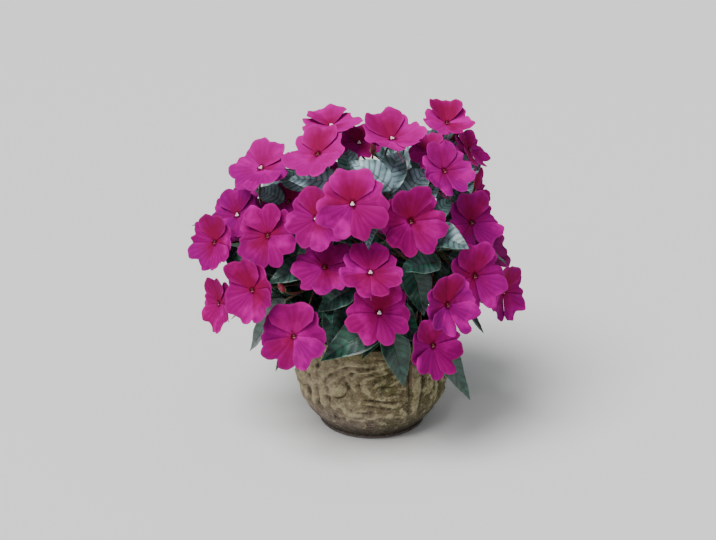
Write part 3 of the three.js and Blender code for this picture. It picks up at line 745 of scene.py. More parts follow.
    def lay_out_bud(self, row: tuple[float, float, float]) -> None:
        """Places a bud by the picture, pushed back until it is clear, on a stalk of its own.

        Args:
            row: Its column and row in the picture, and how far it stands out.
        """
        place = on_canopy(*row)
        stem = self.nearest_stem(place)
        normal = unit(unit(place - stem.crown) + UP)
        rises = np.array([0.0, 5, 10, 15])[:, None]
        for _ in range(FRONT_TRIES):
            if self.beads.is_clear(place + normal * rises, BUD_BEAD, stem.name):
                break
            place = place - VIEW_BACK * SETTLE_STEP
        stem.stalks.append(self.lay_stalk(stem, place, normal, stem.name))
        stem.buds.append((place, normal))
        self.beads.add(place + normal * rises, BUD_BEAD, stem.name)

    def lay_out_whorls(self) -> None:
        """Places whorls of leaves up each stem: each leaf takes the first of its tries that is clear."""
        draw = self.draws.draw
        for whorl in reversed(WHORLS):
            for index, stem in enumerate(self.stems):
                root = stem.curve.point(whorl.along)
                tangent = stem.curve.tangent(whorl.along)
                outward = unit(root - CANOPY_CENTRE)
                east = unit(np.cross(tangent, np.array([0.2, 1, 0.1])))
                north = np.cross(tangent, east)
                for k in range(whorl.leaves):
                    for i in range(WHORL_TRIES):
                        turn = (2 * math.pi * (k + draw(-0.4, 0.4))) / whorl.leaves + index
                        lean = math.radians(whorl.lean + draw(-22, 26))
                        aim = tangent * math.cos(lean) + east * (math.sin(lean) * math.cos(turn))
                        aim = aim + north * (math.sin(lean) * math.sin(turn))
                        length = whorl.length * draw(0.85, 1.15) * (1 - 0.035 * i)
                        tip = root + aim * (PETIOLE + length) - UP * (whorl.droop * draw(0.4, 1.6))
                        face = unit(UP + outward * 0.5 - aim * 0.2)
                        width = LEAF_WIDTH * draw(0.85, 1.12) * (1 - 0.02 * i)
                        arch, phase = whorl.arch * draw(0.6, 1.4), draw(0, FULL_TURN)
                        start = root + aim * ROOT_SHIFT
                        leaf = Leaf(start, root + aim * PETIOLE, tip, face, width, arch, phase)
                        if leaf.tip[2] > LOWEST_TIP and self.fits(stem, leaf, SHEET_BEAD):
                            self.grow(stem, leaf)
                            break


def link_new(name: str, data: bpy.types.ID) -> Piece:
    """Makes an object at the origin and links it to the scene.

    Args:
        name: Its name.
        data: Its mesh, curve, light or camera.

    Returns:
        The object.
    """
    made = bpy.data.objects.new(name, data)
    bpy.context.scene.collection.objects.link(made)
    return made


def shade_smooth(mesh: bpy.types.Mesh, crease: float) -> None:
    """Shades a mesh smoothly between the edges that are sharper than an angle, in degrees."""
    mesh.polygons.foreach_set("use_smooth", np.ones(len(mesh.polygons), bool))
    mesh.set_sharp_from_angle(angle=math.radians(crease))


def evaluated_mesh(source: Piece) -> bpy.types.Mesh:
    """Returns a new mesh of an object as its modifiers leave it."""
    graph = bpy.context.evaluated_depsgraph_get()
    return bpy.data.meshes.new_from_object(source.evaluated_get(graph))


class MeshData:
    """Vertices in millimetres with faces, a UV place and named numbers at each vertex."""

    def __init__(self, *numbers: str) -> None:
        """Starts empty.

        Args:
            numbers: The names of the numbers that each vertex carries.
        """
        self.names = numbers
        self.count = 0
        self.vertices: list[Array] = []
        self.places: list[Array] = []
        self.numbers: dict[str, list[Array]] = {name: [] for name in numbers}
        self.faces: list[Array] = []
        self.slots: list[Array] = []

    def add(self, points: Array, blocks: list[Array], uv: Array, slot: int = 0,
            **numbers: Array | float) -> None:
        """Adds a closed shell.

        Args:
            points: Its vertices.
            blocks: Its faces, as blocks of triangles or of quads, each a row of vertex numbers.
            uv: The UV place of each vertex.
            slot: The material slot of its faces.
            numbers: Each named number, as one value or one for each vertex.
        """
        self.vertices.append(points)
        self.places.append(uv)
        for name in self.names:
            value = np.broadcast_to(np.asarray(numbers.get(name, 0.0), float), (len(points),))
            self.numbers[name].append(value)
        for faces in blocks:
            self.faces.append(faces + self.count)
            self.slots.append(np.full(len(faces), slot))
        self.count += len(points)

    def to_object(self, name: str, materials: list[Material],
                  crease: float = 50.0) -> Piece:
        """Makes the Blender object, at the origin and in metres.

        Args:
            name: The piece's name.
            materials: Its materials, by slot.
            crease: The angle, in degrees, past which an edge is sharp.

        Returns:
            The object, linked to the scene.
        """
        mesh = bpy.data.meshes.new(name)
        vertices = np.concatenate(self.vertices) * MM
        corners = np.concatenate([faces.ravel() for faces in self.faces])
        totals = np.concatenate([np.full(len(faces), faces.shape[1]) for faces in self.faces])
        mesh.vertices.add(len(vertices))
        mesh.vertices.foreach_set("co", vertices.ravel())
        mesh.loops.add(len(corners))
        mesh.loops.foreach_set("vertex_index", corners)
        mesh.polygons.add(len(totals))
        mesh.polygons.foreach_set("loop_start", np.concatenate([[0], np.cumsum(totals)[:-1]]))
        mesh.polygons.foreach_set("loop_total", totals)
        mesh.polygons.foreach_set("material_index", np.concatenate(self.slots))
        layer = mesh.uv_layers.new(name="UVMap")
        layer.data.foreach_set("uv", np.concatenate(self.places)[corners].ravel())
        for key in self.names:
            attribute = mesh.attributes.new(key, "FLOAT", "POINT")
            attribute.data.foreach_set("value", np.concatenate(self.numbers[key]))
        mesh.update(calc_edges=True)
        mesh.validate()
        shade_smooth(mesh, crease)
        for material in materials:
            mesh.materials.append(material)
        return link_new(name, mesh)


def grid_faces(rows: int, columns: int, wrap: bool = False) -> Array:
    """Returns the quads of a grid of vertices that is stored row by row.

    Args:
        rows: The number of rows.
        columns: The number of columns.
        wrap: Whether the last column joins the first.

    Returns:
        The quads.
    """
    r, c = np.meshgrid(np.arange(rows - 1), np.arange(columns if wrap else columns - 1), indexing="ij")
    a = r * columns + c
    b = r * columns + (c + 1) % columns
    return np.stack([a, b, b + columns, a + columns], -1).reshape(-1, 4)


def fan_faces(centre: int, first: int, sides: int, upward: bool) -> Array:
    """Returns the triangles that close a ring of vertices with one at its middle.

    Args:
        centre: The number of the vertex at the middle.
        first: The number of the ring's first vertex.
        sides: The number of vertices in the ring.
        upward: Whether the triangles look up, when the ring runs round to the left.

    Returns:
        The triangles.
    """
    ring = first + np.arange(sides)
    after = np.roll(ring, -1)
    pair = (ring, after) if upward else (after, ring)
    return np.stack([np.full(sides, centre), *pair], -1)


def add_sheet(data: MeshData, middle: Array, half: Array, uv: Array, **numbers: Array | float) -> None:
    """Adds a thin closed sheet whose front looks along its normals.

    Args:
        data: The mesh that it goes into.
        middle: The grid of its middle surface, rows by columns.
        half: Half its thickness at each place.
        uv: The UV place of each grid place.
        numbers: The named numbers, at each grid place or the same all over. "under" is 1 on the back.
    """
    rows, columns = middle.shape[:2]
    normal = np.cross(np.gradient(middle, axis=1), np.gradient(middle, axis=0))
    normal /= np.maximum(np.linalg.norm(normal, axis=-1, keepdims=True), 1e-9)
    front = (middle + normal * half[..., None]).reshape(-1, 3)
    back = (middle - normal * half[..., None]).reshape(-1, 3)
    quads = grid_faces(rows, columns)
    count = rows * columns
    index = np.arange(count).reshape(rows, columns)
    rim = np.concatenate([index[0, :-1], index[:-1, -1], index[-1, :0:-1], index[:0:-1, 0]])
    after = np.roll(rim, -1)
    edge = np.stack([rim, after, after + count, rim + count], -1)
    faces = np.concatenate([quads, quads[:, ::-1] + count, edge[:, ::-1]])
    full = {key: np.broadcast_to(value, (rows, columns)) for key, value in numbers.items()}
    both = {key: np.tile(value.ravel(), 2) for key, value in full.items()}
    both["under"] = np.repeat([0.0, 1.0], count)
    data.add(np.concatenate([front, back]), [faces], np.tile(uv.reshape(-1, 2), (2, 1)), **both)


def add_lathe(data: MeshData, profile: Array | tuple, sides: int, place: Array, axis: Array,
              slot: int = 0) -> None:
    """Adds a closed round body turned from a profile.

    Args:
        data: The mesh that it goes into.
        profile: Radius and height of each ring, from a pole to a pole.
        sides: The number of sides.
        place: Where the profile's foot is.
        axis: The unit direction of its height.
        slot: Its material slot.
    """
    profile = np.asarray(profile, float)
    across = unit(np.cross(axis, UP if abs(axis[2]) < 0.9 else VIEW_RIGHT))
    upward = np.cross(axis, across)
    angle = np.linspace(0, 2 * np.pi, sides, endpoint=False)
    ring = np.cos(angle)[:, None] * across + np.sin(angle)[:, None] * upward
    body = profile[1:-1, 0, None, None] * ring[None] + profile[1:-1, 1, None, None] * axis
    rings = len(profile) - 2
    points = np.concatenate([[profile[0, 1] * axis], body.reshape(-1, 3), [profile[-1, 1] * axis]]) + place
    last = 1 + (rings - 1) * sides
    uv = np.zeros((len(points), 2))
    uv[1:-1, 0] = np.tile(np.arange(sides) / sides, rings)
    uv[1:-1, 1] = np.repeat(np.linspace(0, 1, rings), sides)
    uv[-1] = (0.5, 1)
    blocks = [
        grid_faces(rings, sides, wrap=True) + 1,
        fan_faces(0, 1, sides, upward=False),
        fan_faces(last + sides, last, sides, upward=True),
    ]
    data.add(points, blocks, uv, slot)


def rgb(code: str) -> tuple[float, ...]:
    """Returns the linear colour of a six-digit code."""
    parts = [int(code[i:i + 2], 16) / 255 for i in (0, 2, 4)]
    return (*[c / 12.92 if c <= 0.04045 else ((c + 0.055) / 1.055) ** 2.4 for c in parts], 1.0)


class Nodes:
    """A node tree that is built up node by node."""

    def __init__(self, tree: bpy.types.NodeTree) -> None:
        """Keeps the tree."""
        self.tree = tree

    def put(self, socket: Socket, value: object) -> None:
        """Links a socket to another, or sets its value.

        Args:
            socket: The socket.
            value: The other socket, or the value.
        """
        if isinstance(value, Socket):
            self.tree.links.new(value, socket)
        else:
            socket.default_value = value

    def add(self, kind: str, links: dict[str | int, object] | None = None, **settings: str) -> bpy.types.Node:
        """Adds a node.

        Args:
            kind: The kind of node.
            links: What each input, by name or number, is linked or set to.
            settings: Its options.

        Returns:
            The node.
        """
        node = self.tree.nodes.new(kind)
        for key, value in settings.items():
            setattr(node, key, value)
        for key, value in (links or {}).items():
            self.put(node.inputs[key], value)
        return node


class Shader(Nodes):
    """A material with one principled shader, whose colour is built up coat by coat."""

    def __init__(self, name: str, ground: str, **constants: float) -> None:
        """Makes the material.

        Args:
            name: Its name.
            ground: The code of its first colour.
            constants: Values of the shader's own sockets, with underscores for spaces.
        """
        self.material = bpy.data.materials.new(name)
        self.material.use_nodes = True
        super().__init__(self.material.node_tree)
        self.surface = self.tree.nodes["Principled BSDF"]
        for key, value in constants.items():
            self.surface.inputs[key.replace("_", " ")].default_value = value
        self.place = self.add("ShaderNodeTexCoord").outputs["Object"]
        self.colour = rgb(ground)

    def math(self, operation: str, a: object, b: object = 0.0) -> Socket:
        """Returns what an operation makes of two numbers or sockets."""
        return self.add("ShaderNodeMath", {0: a, 1: b}, operation=operation).outputs[0]

    def attribute(self, name: str, factor: float = 1.0) -> Socket:
        """Returns a number that the mesh carries, times a factor."""
        value = self.add("ShaderNodeAttribute", attribute_name=name).outputs["Fac"]
        return value if factor == 1.0 else self.math("MULTIPLY", value, factor)

    def along(self, axis: str) -> Socket:
        """Returns the place along the object's X, Y or Z axis, in metres."""
        return self.add("ShaderNodeSeparateXYZ", {0: self.place}).outputs[axis]

    def noise(self, scale: float, detail: float) -> Socket:
        """Returns noise over the object's own axes, about 0.5 on average, its scale in waves to a metre."""
        links = {"Vector": self.place, "Scale": scale, "Detail": detail}
        return self.add("ShaderNodeTexNoise", links).outputs["Fac"]

    def span(self, value: object, low: float, high: float, start: float = 0.0, end: float = 1.0) -> Socket:
        """Takes a value from between low and high to between start and end, smoothly and held at both."""
        links = dict(enumerate((value, low, high, start, end)))
        return self.add("ShaderNodeMapRange", links, interpolation_type="SMOOTHSTEP").outputs["Result"]

    def patches(self, scale: float, detail: float, *limits: float) -> Socket:
        """Returns noise of a scale and detail, taken through a span of those limits."""
        return self.span(self.noise(scale, detail), *limits)

    def scratches(self, scale: float) -> Socket:
        """Returns thin broken lines that wander over the surface, 1 along them."""
        gap = self.math("ABSOLUTE", self.math("SUBTRACT", self.noise(scale, 2), 0.5))
        return self.math("MULTIPLY", self.span(gap, 0, 0.03, 1, 0), self.patches(scale * 1.3, 1, 0.45, 0.6))

    def coat(self, code: str, amount: object) -> None:
        """Lays a coat of another colour over the colour so far, as much as the number or socket says."""
        links = {0: amount, 6: self.colour, 7: rgb(code)}
        self.colour = self.add("ShaderNodeMix", links, data_type="RGBA").outputs[2]

    def bump(self, height: object, distance: float, strength: float) -> None:
        """Roughens the surface by a height, of which 1 stands for a distance in metres."""
        links = {"Height": height, "Distance": distance, "Strength": strength}
        self.put(self.surface.inputs["Normal"], self.add("ShaderNodeBump", links).outputs["Normal"])

    def finish(self, roughness: object) -> Material:
        """Gives the surface its colour and roughness.

        Args:
            roughness: The roughness, as a number or socket.

        Returns:
            The material.
        """
        self.put(self.surface.inputs["Base Color"], self.colour)
        self.put(self.surface.inputs["Roughness"], roughness)
        return self.material


@dataclass(frozen=True)
class PetalFinish:
    """Velvety petals: magenta with a crimson flush and a dark ring at the heart, paler beneath."""

    name: str = "petal"
    bright: str = "8c0058"
    violet: str = "80006c"
    light: str = "be0092"
    flush: str = "7e1032"
    ring: str = "4a0616"
    under: str = "a02a80"
    sunlit: str = "d010a2"
    # Painted highlight along the petals' edges
    rim: str = "dc3cae"
    roughness: float = 0.6

    def build(self) -> Material:
        """Makes the material, driven by the numbers tone, out, vein, flush, rim and under.

        Returns:
            The material.
        """
        shader = Shader(self.name, self.bright, Specular_IOR_Level=0.02)
        coat, span, patches, attribute = shader.coat, shader.span, shader.patches, shader.attribute
        coat(self.violet, attribute("tone"))
        coat(self.light, patches(46, 3, 0.48, 0.7, 0, 0.8))
        coat(self.light, attribute("vein", 0.26))
        coat(self.sunlit, span(shader.along("Z"), 0.268, 0.335, 0, 0.5))
        flush = shader.math("ADD", attribute("flush"), patches(90, 3, 0.3, 0.7, -0.14, 0.14))
        coat(self.flush, span(flush, 0.0, 1.1, 0, 0.86))
        # Painted highlight: the petals' edges are lighter
        coat(self.rim, attribute("rim", 0.16))
        heart = shader.math("ADD", attribute("out"), patches(320, 3, 0.3, 0.7, -0.035, 0.035))
        coat(self.ring, span(heart, 0.04, 0.15, 0.95, 0))
        coat(self.under, attribute("under", 0.6))
        height = shader.math("ADD", attribute("vein", -0.5), shader.noise(1500, 2))
        shader.bump(height, 0.00012, 0.5)
        return shader.finish(self.roughness)


@dataclass(frozen=True)
class PlainFinish:
    """A fleshy plant part of two mottled colours."""

    name: str
    first: str
    second: str
    roughness: float = 0.4
    specular: float = 0.5
    scale: float = 160.0
    grain: float = 0.0001

    def build(self) -> Material:
        """Makes the material.

        Returns:
            The material.
        """
        shader = Shader(self.name, self.first, Specular_IOR_Level=self.specular)
        shader.coat(self.second, shader.patches(self.scale, 4, 0.35, 0.65))
        shader.bump(shader.noise(self.scale * 6, 3), self.grain, 0.5)
        return shader.finish(self.roughness)


@dataclass(frozen=True)
class LeafFinish:
    """A glossy leaf: dark blue-green with a purple cast, dark veins, a thin pale edge, a dull underside and a
    painted sheen, a painted reflection of the light from above.
    """

    name: str = "leaf"
    dark: str = "092a1f"
    green: str = "1a583f"
    purple: str = "20222c"
    # Painted reflection: the pale sheen of the light from above on the leaves
    wax: str = "a8c8d2"
    vein: str = "0a1a16"
    rib: str = "4a3036"
    under: str = "5c6f62"
    young: str = "5f8a44"
    edge: str = "8aa890"

    def build(self) -> Material:
        """Makes the material, driven by the numbers tone, vein, rib, rim, under, young and wax.

        Returns:
            The material.
        """
        shader = Shader(self.name, self.dark, Specular_IOR_Level=0.36, Coat_Weight=0.11, Coat_Roughness=0.25)
        coat, span, patches, attribute = shader.coat, shader.span, shader.patches, shader.attribute
        coat(self.green, patches(90, 4, 0.35, 0.7))
        coat(self.purple, attribute("tone", 0.42))
        coat(self.young, attribute("young"))
        # Painted reflection: a pale sheen, stronger high on the plant and between the veins
        wax = shader.math("MULTIPLY", attribute("wax"), patches(70, 5, 0.36, 0.62, 0.25, 1))
        coat(self.wax, wax)
        coat(self.vein, attribute("vein", 0.55))
        coat(self.rib, attribute("rib", 0.75))
        coat(self.edge, attribute("rim", 0.45))
        coat(self.under, attribute("under", 0.8))
        shader.bump(shader.noise(700, 4), 0.0002, 0.6)
        dull = span(attribute("under"), 0, 1, 0.3, 0.62)
        return shader.finish(shader.math("ADD", dull, patches(240, 3, 0.3, 0.7, -0.05, 0.1)))


@dataclass(frozen=True)
class StoneFinish:
    """Weathered, moss-stained stoneware: pale on what stands proud, a painted highlight, and dark and green
    in the hollows, where the dark is painted shade.
    """

    name: str = "weathered_stone"
    bright: str = "a4957a"
    pale: str = "86775a"
    grey: str = "695d42"
    shade: str = "3a3522"
    moss: str = "4e4c26"
    dark: str = "1e1812"
    brown: str = "533c26"
    # Pale lichen in patches and specks, and the painted highlight on what stands proud
    lichen_and_highlight: str = "b8ae8a"
    lilac: str = "75666a"

    def build(self) -> Material:
        """Makes the material, driven by the number cavity.

        Returns:
            The material.
        """
        shader = Shader(self.name, self.pale, Specular_IOR_Level=0.25)
        coat, span = shader.coat, shader.span
        height, broad, fine = shader.along("Z"), shader.noise(22, 5), shader.noise(170, 6)
        aside = shader.math("ADD", shader.along("X"), shader.math("MULTIPLY", broad, 0.1))
        coat(self.bright, span(height, 0.03, 0.075))
        # Painted shade: the wall darkens from its lit left side to grey and then shade on its right
        coat(self.grey, span(aside, -0.01, 0.06))
        coat(self.shade, span(aside, 0.06, 0.12, 0, 0.6))
        coat(self.brown, span(fine, 0.42, 0.75, 0, 0.5))
        damp = shader.math("ADD", shader.noise(38, 6), span(aside, 0.06, 0.11, 0, 0.16))
        coat(self.moss, span(damp, 0.5, 0.7, 0, 0.8))
        coat(self.lichen_and_highlight, shader.patches(64, 6, 0.56, 0.72, 0, 0.55))
        lower = span(height, 0.016, 0.06, 0.6, 0)
        coat(self.lilac, shader.math("MULTIPLY", lower, span(aside, 0.0, 0.09, 1, 0.3)))
        # Painted shade, with some moss: the wall darkens towards the foot, under the bulge
        coat(self.dark, span(height, 0.004, 0.034, 0.78, 0))
        # Painted highlight: a thin pale lilac line along the rim of the foot
        coat(self.lilac, span(height, 0.0022, 0.0036, 0.6, 0))
        # Painted shade in the hollows and a painted highlight on what stands proud, by the cavity
        hollow = shader.math("ADD", shader.attribute("cavity"), span(fine, 0.3, 0.7, -0.12, 0.12))
        coat(self.dark, span(hollow, 0.35, 1.1, 0, 0.75))
        coat(self.lichen_and_highlight, span(hollow, -0.1, 0.24, 0.5, 0))
        scratch = shader.math("MAXIMUM", shader.scratches(52), shader.scratches(118))
        coat(self.dark, shader.math("MULTIPLY", scratch, 0.2))
        speckle = shader.noise(620, 4)
        coat(self.dark, span(speckle, 0.52, 0.7, 0, 0.32))
        coat(self.lichen_and_highlight, span(speckle, 0.32, 0.46, 0.26, 0))
        grain = shader.math("ADD", shader.math("MULTIPLY", shader.noise(420, 6), 0.7), fine)
        shader.bump(shader.math("SUBTRACT", grain, shader.math("MULTIPLY", scratch, 0.3)), 0.0011, 0.7)
        return shader.finish(span(fine, 0.3, 0.7, 0.72, 0.92))


@dataclass(frozen=True)
class SoilFinish:
    """Dark, damp potting soil."""

    name: str = "potting_soil"
    dark: str = "1f1610"
    light: str = "46331f"

    def build(self) -> Material:
        """Makes the material.

        Returns:
            The material.
        """
        shader = Shader(self.name, self.dark, Specular_IOR_Level=0.2)
        grain = shader.noise(420, 6)
        shader.coat(self.light, shader.span(grain, 0.35, 0.7))
        shader.bump(grain, 0.001, 0.9)
        return shader.finish(0.93)


def place_piece(piece: Piece, slot: str, *nodes: str) -> None:
    """Puts a piece on the body in place of nodes, and logs it.

    Args:
        piece: The piece.
        slot: The record's material slot, which is not used.
        nodes: The nodes that it stands for.
    """
    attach(piece, BODY)
    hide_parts(*nodes)
    LOG.info("%s: %d faces for %s", piece.name, len(piece.data.polygons), ", ".join(nodes))


class GeometryTree(Nodes):
    """A tree with named inputs that makes a plain mesh of an object."""

    def __init__(self, name: str, *inputs: tuple[str, str, float]) -> None:
        """Starts the tree.

        Args:
            name: Its name.
            inputs: The name, kind of socket and value of each input.
        """
        super().__init__(bpy.data.node_groups.new(name, "GeometryNodeTree"))
        make = self.tree.interface.new_socket
        make("Geometry", in_out="INPUT", socket_type="NodeSocketGeometry")
        self.identifiers = {}
        for label, kind, value in inputs:
            socket = make(label, in_out="INPUT", socket_type=kind)
            if value is not None:
                socket.default_value = value
            self.identifiers[label] = socket.identifier
        make("Geometry", in_out="OUTPUT", socket_type="NodeSocketGeometry")
        self.start = self.tree.nodes.new("NodeGroupInput")
        self.end = self.tree.nodes.new("NodeGroupOutput")

    def close(self, geometry: Socket) -> None:
        """Ends the tree with real geometry in the chosen material.

        Args:
            geometry: What the tree has made.
        """
        real = self.add("GeometryNodeRealizeInstances", {"Geometry": geometry}).outputs["Geometry"]
        material = self.start.outputs["Material"]
        dressed = self.add("GeometryNodeSetMaterial", {"Geometry": real, "Material": material})
        self.tree.links.new(dressed.outputs["Geometry"], self.end.inputs["Geometry"])

    def apply(self, source: Piece, name: str, **values: object) -> Piece:
        """Runs the tree on an object and keeps the result as a plain mesh.

        Args:
            source: The object, which is removed.
            name: The name of the new piece.
            values: The value of each named input.

        Returns:
            The new piece, at the origin.
        """
        modifier = source.modifiers.new(self.tree.name, "NODES")
        modifier.node_group = self.tree
        for label, value in values.items():
            modifier[self.identifiers[label.replace("_", " ")]] = value
        mesh = evaluated_mesh(source)
        mesh.name = name
        shade_smooth(mesh, 60)
        bpy.data.objects.remove(source)
        return link_new(name, mesh)


TUBE_SIDES = 8


class Tubes:
    """Round tubes along centre lines: stems, stalks, petioles, spurs."""

    def __init__(self) -> None:
        """Makes the node tree."""
        inputs = ("Sides", "NodeSocketInt", 10), ("Material", "NodeSocketMaterial", None)
        self.tree = GeometryTree("tube_along_line", *inputs)
        add, given = self.tree.add, self.tree.start.outputs
        ring = add("GeometryNodeCurvePrimitiveCircle", {"Resolution": given["Sides"], "Radius": 1.0})
        tube = add("GeometryNodeCurveToMesh", {
            "Curve": given["Geometry"], "Profile Curve": ring.outputs["Curve"],
            "Scale": add("GeometryNodeInputRadius").outputs["Radius"], "Fill Caps": True,
        })
        self.tree.close(tube.outputs["Mesh"])

    def build(self, name: str, lines: list[tuple[Array, Array]],
              material: Material) -> Piece:
        """Makes one piece of tubes.

        Args:
            name: Its name.
            lines: The places and radii along each centre line, in millimetres.
            material: Its material.

        Returns:
            The piece.
        """
        curve = bpy.data.curves.new(name + "_lines", "CURVE")
        curve.dimensions = "3D"
        for points, radii in lines:
            spline = curve.splines.new("POLY")
            spline.points.add(len(points) - 1)
            places = np.column_stack([points * MM, np.ones(len(points))])
            spline.points.foreach_set("co", places.ravel())
            spline.points.foreach_set("radius", radii * MM)
        source = link_new(name + "_lines", curve)
        return self.tree.apply(source, name, Sides=TUBE_SIDES, Material=material)


@dataclass(frozen=True)
class Stroke:
    """A carved fold, ridge or groove, in millimetres round and up the pot from the middle of its motif."""

    path: tuple
    left: float
    right: float
    depth: float
    tapered: bool = True

    def relief(self, around: Array, up: Array) -> Array:
        """Finds how high the stroke stands.

        Args:
            around: Places round the pot's wall, in millimetres.
            up: Places up it.

        Returns:
            The height at each place, less than nothing in a groove.
        """
        path = np.array(self.path)
        girth = 2 * np.pi * POT_RADIUS
        nearest, width, run = np.full_like(around, np.inf), np.ones_like(around), np.zeros_like(around)
        for i, (a, b) in enumerate(zip(path[:-1], path[1:])):
            along = b - a
            u = (around - a[0] + girth / 2) % girth - girth / 2
            v = up - a[1]
            k = np.clip((u * along[0] + v * along[1]) / (along @ along), 0, 1)
            gap = np.hypot(u - k * along[0], v - k * along[1])
            closer = gap < nearest
            width = np.where(closer, np.where(along[0] * v > along[1] * u, self.left, self.right), width)
            run = np.where(closer, (i + k) / (len(path) - 1), run)
            nearest = np.minimum(nearest, gap)
        fade = np.clip(np.minimum(run, 1 - run) * 5, 0, 1) if self.tapered else 1.0
        return self.depth * fade * np.exp(-((nearest / width) ** 2))


# Drapery, leaves and knobs of one motif: a path, how far each side of it runs out, and its height
CARVING = tuple(Stroke(*row) for row in (
    (((-62, 72), (-46, 84), (-28, 91), (0, 95), (32, 96)), 5, 1.1, 1.7),
    (((-54, 66), (-40, 78), (-24, 86), (4, 91), (26, 92)), 4, 1.0, 1.5),
    (((14, 93), (-4, 90), (-16, 87), (-23, 80), (-21, 70), (-12, 61)), 5, 1.1, 1.9),
    (((20, 87), (4, 85), (-8, 82), (-14, 75), (-11, 66), (-2, 60)), 4.5, 1.0, 1.7),
    (((30, 85), (17, 81), (6, 76), (1, 68)), 5, 1.0, 1.4),
    (((36, 78), (24, 76), (13, 69), (15, 63)), 4, 0.9, 1.2),
    (((-36, 84), (-30, 80), (-27, 75)), 2.5, 0.8, 1.0),
    (((-8, 88), (6, 83), (22, 84)), 0.9, 0.7, -1.1),
    (((-11, 56), (10, 54.5), (32, 52.5)), 0.8, 1.5, -1.7),
    (((-12, 53), (8, 51.5), (30, 49.5)), 1.8, 1.8, 0.9),
    (((-5, 49.5), (12, 48), (28, 46)), 0.7, 1.4, -1.5),
    (((4, 71), (14, 71), (24, 70)), 0.8, 1.3, -1.4),
    (((12, 61), (22, 62), (34, 59)), 0.8, 1.3, -1.1),
    (((-18, 44), (-6, 42), (6, 43)), 0.9, 1.4, -1.0),
    (((-41, 33), (-25, 39), (-8, 38)), 5, 1.0, 1.4),
    (((-9, 32), (8, 37), (28, 35)), 5, 1.0, 1.3),
    (((31, 46), (38, 37), (40, 25)), 1.0, 4.5, 1.3),
    (((50, 92), (50, 70), (48, 50), (46, 28)), 6, 6, 2.5),
    (((42, 88), (41.5, 70), (40, 50)), 1.0, 1.2, -1.5),
    (((58, 88), (58, 70), (56, 50), (54, 34)), 1.2, 1.0, -1.3),
    (((59, 86), (67, 70), (64, 50)), 3.5, 1.0, 1.4),
    (((-66, 78), (-70, 58), (-72, 38)), 4, 4, 1.8),
    (((-58, 74), (-61, 58), (-60, 42)), 3, 0.9, 1.3),
    (((-46, 37), (-45.5, 26)), 1.1, 1.1, -1.8),
    (((-38, 68), (-32, 66)), 7.5, 7.5, 2.9, False),
    (((-46, 60), (-37, 57), (-28, 61), (-24, 69), (-28, 77)), 1.0, 1.3, -1.9),
    (((-36, 50), (-31, 49)), 5.0, 5.0, 2.3, False),
    (((-51, 61), (-47, 62)), 4.2, 4.2, 2.0, False),
    (((-51, 55), (-50, 55)), 2.6, 2.6, -2.8, False),
    (((-57, 48), (-55, 47)), 3.6, 3.6, 1.7, False),
    (((-27, 43), (-24, 43)), 3.0, 3.0, 1.5, False),
    (((-21, 53), (-20, 54)), 2.5, 2.5, 1.4, False),
    (((-12, 31), (-10, 31)), 2.6, 2.6, 1.1, False),
    (((-44, 45), (-42, 44)), 3.2, 3.2, 1.3, False),
    (((61, 62), (62, 60)), 3.6, 3.6, 1.7, False),
    (((33, 67), (35, 66)), 2.6, 2.6, 1.6, False),
))


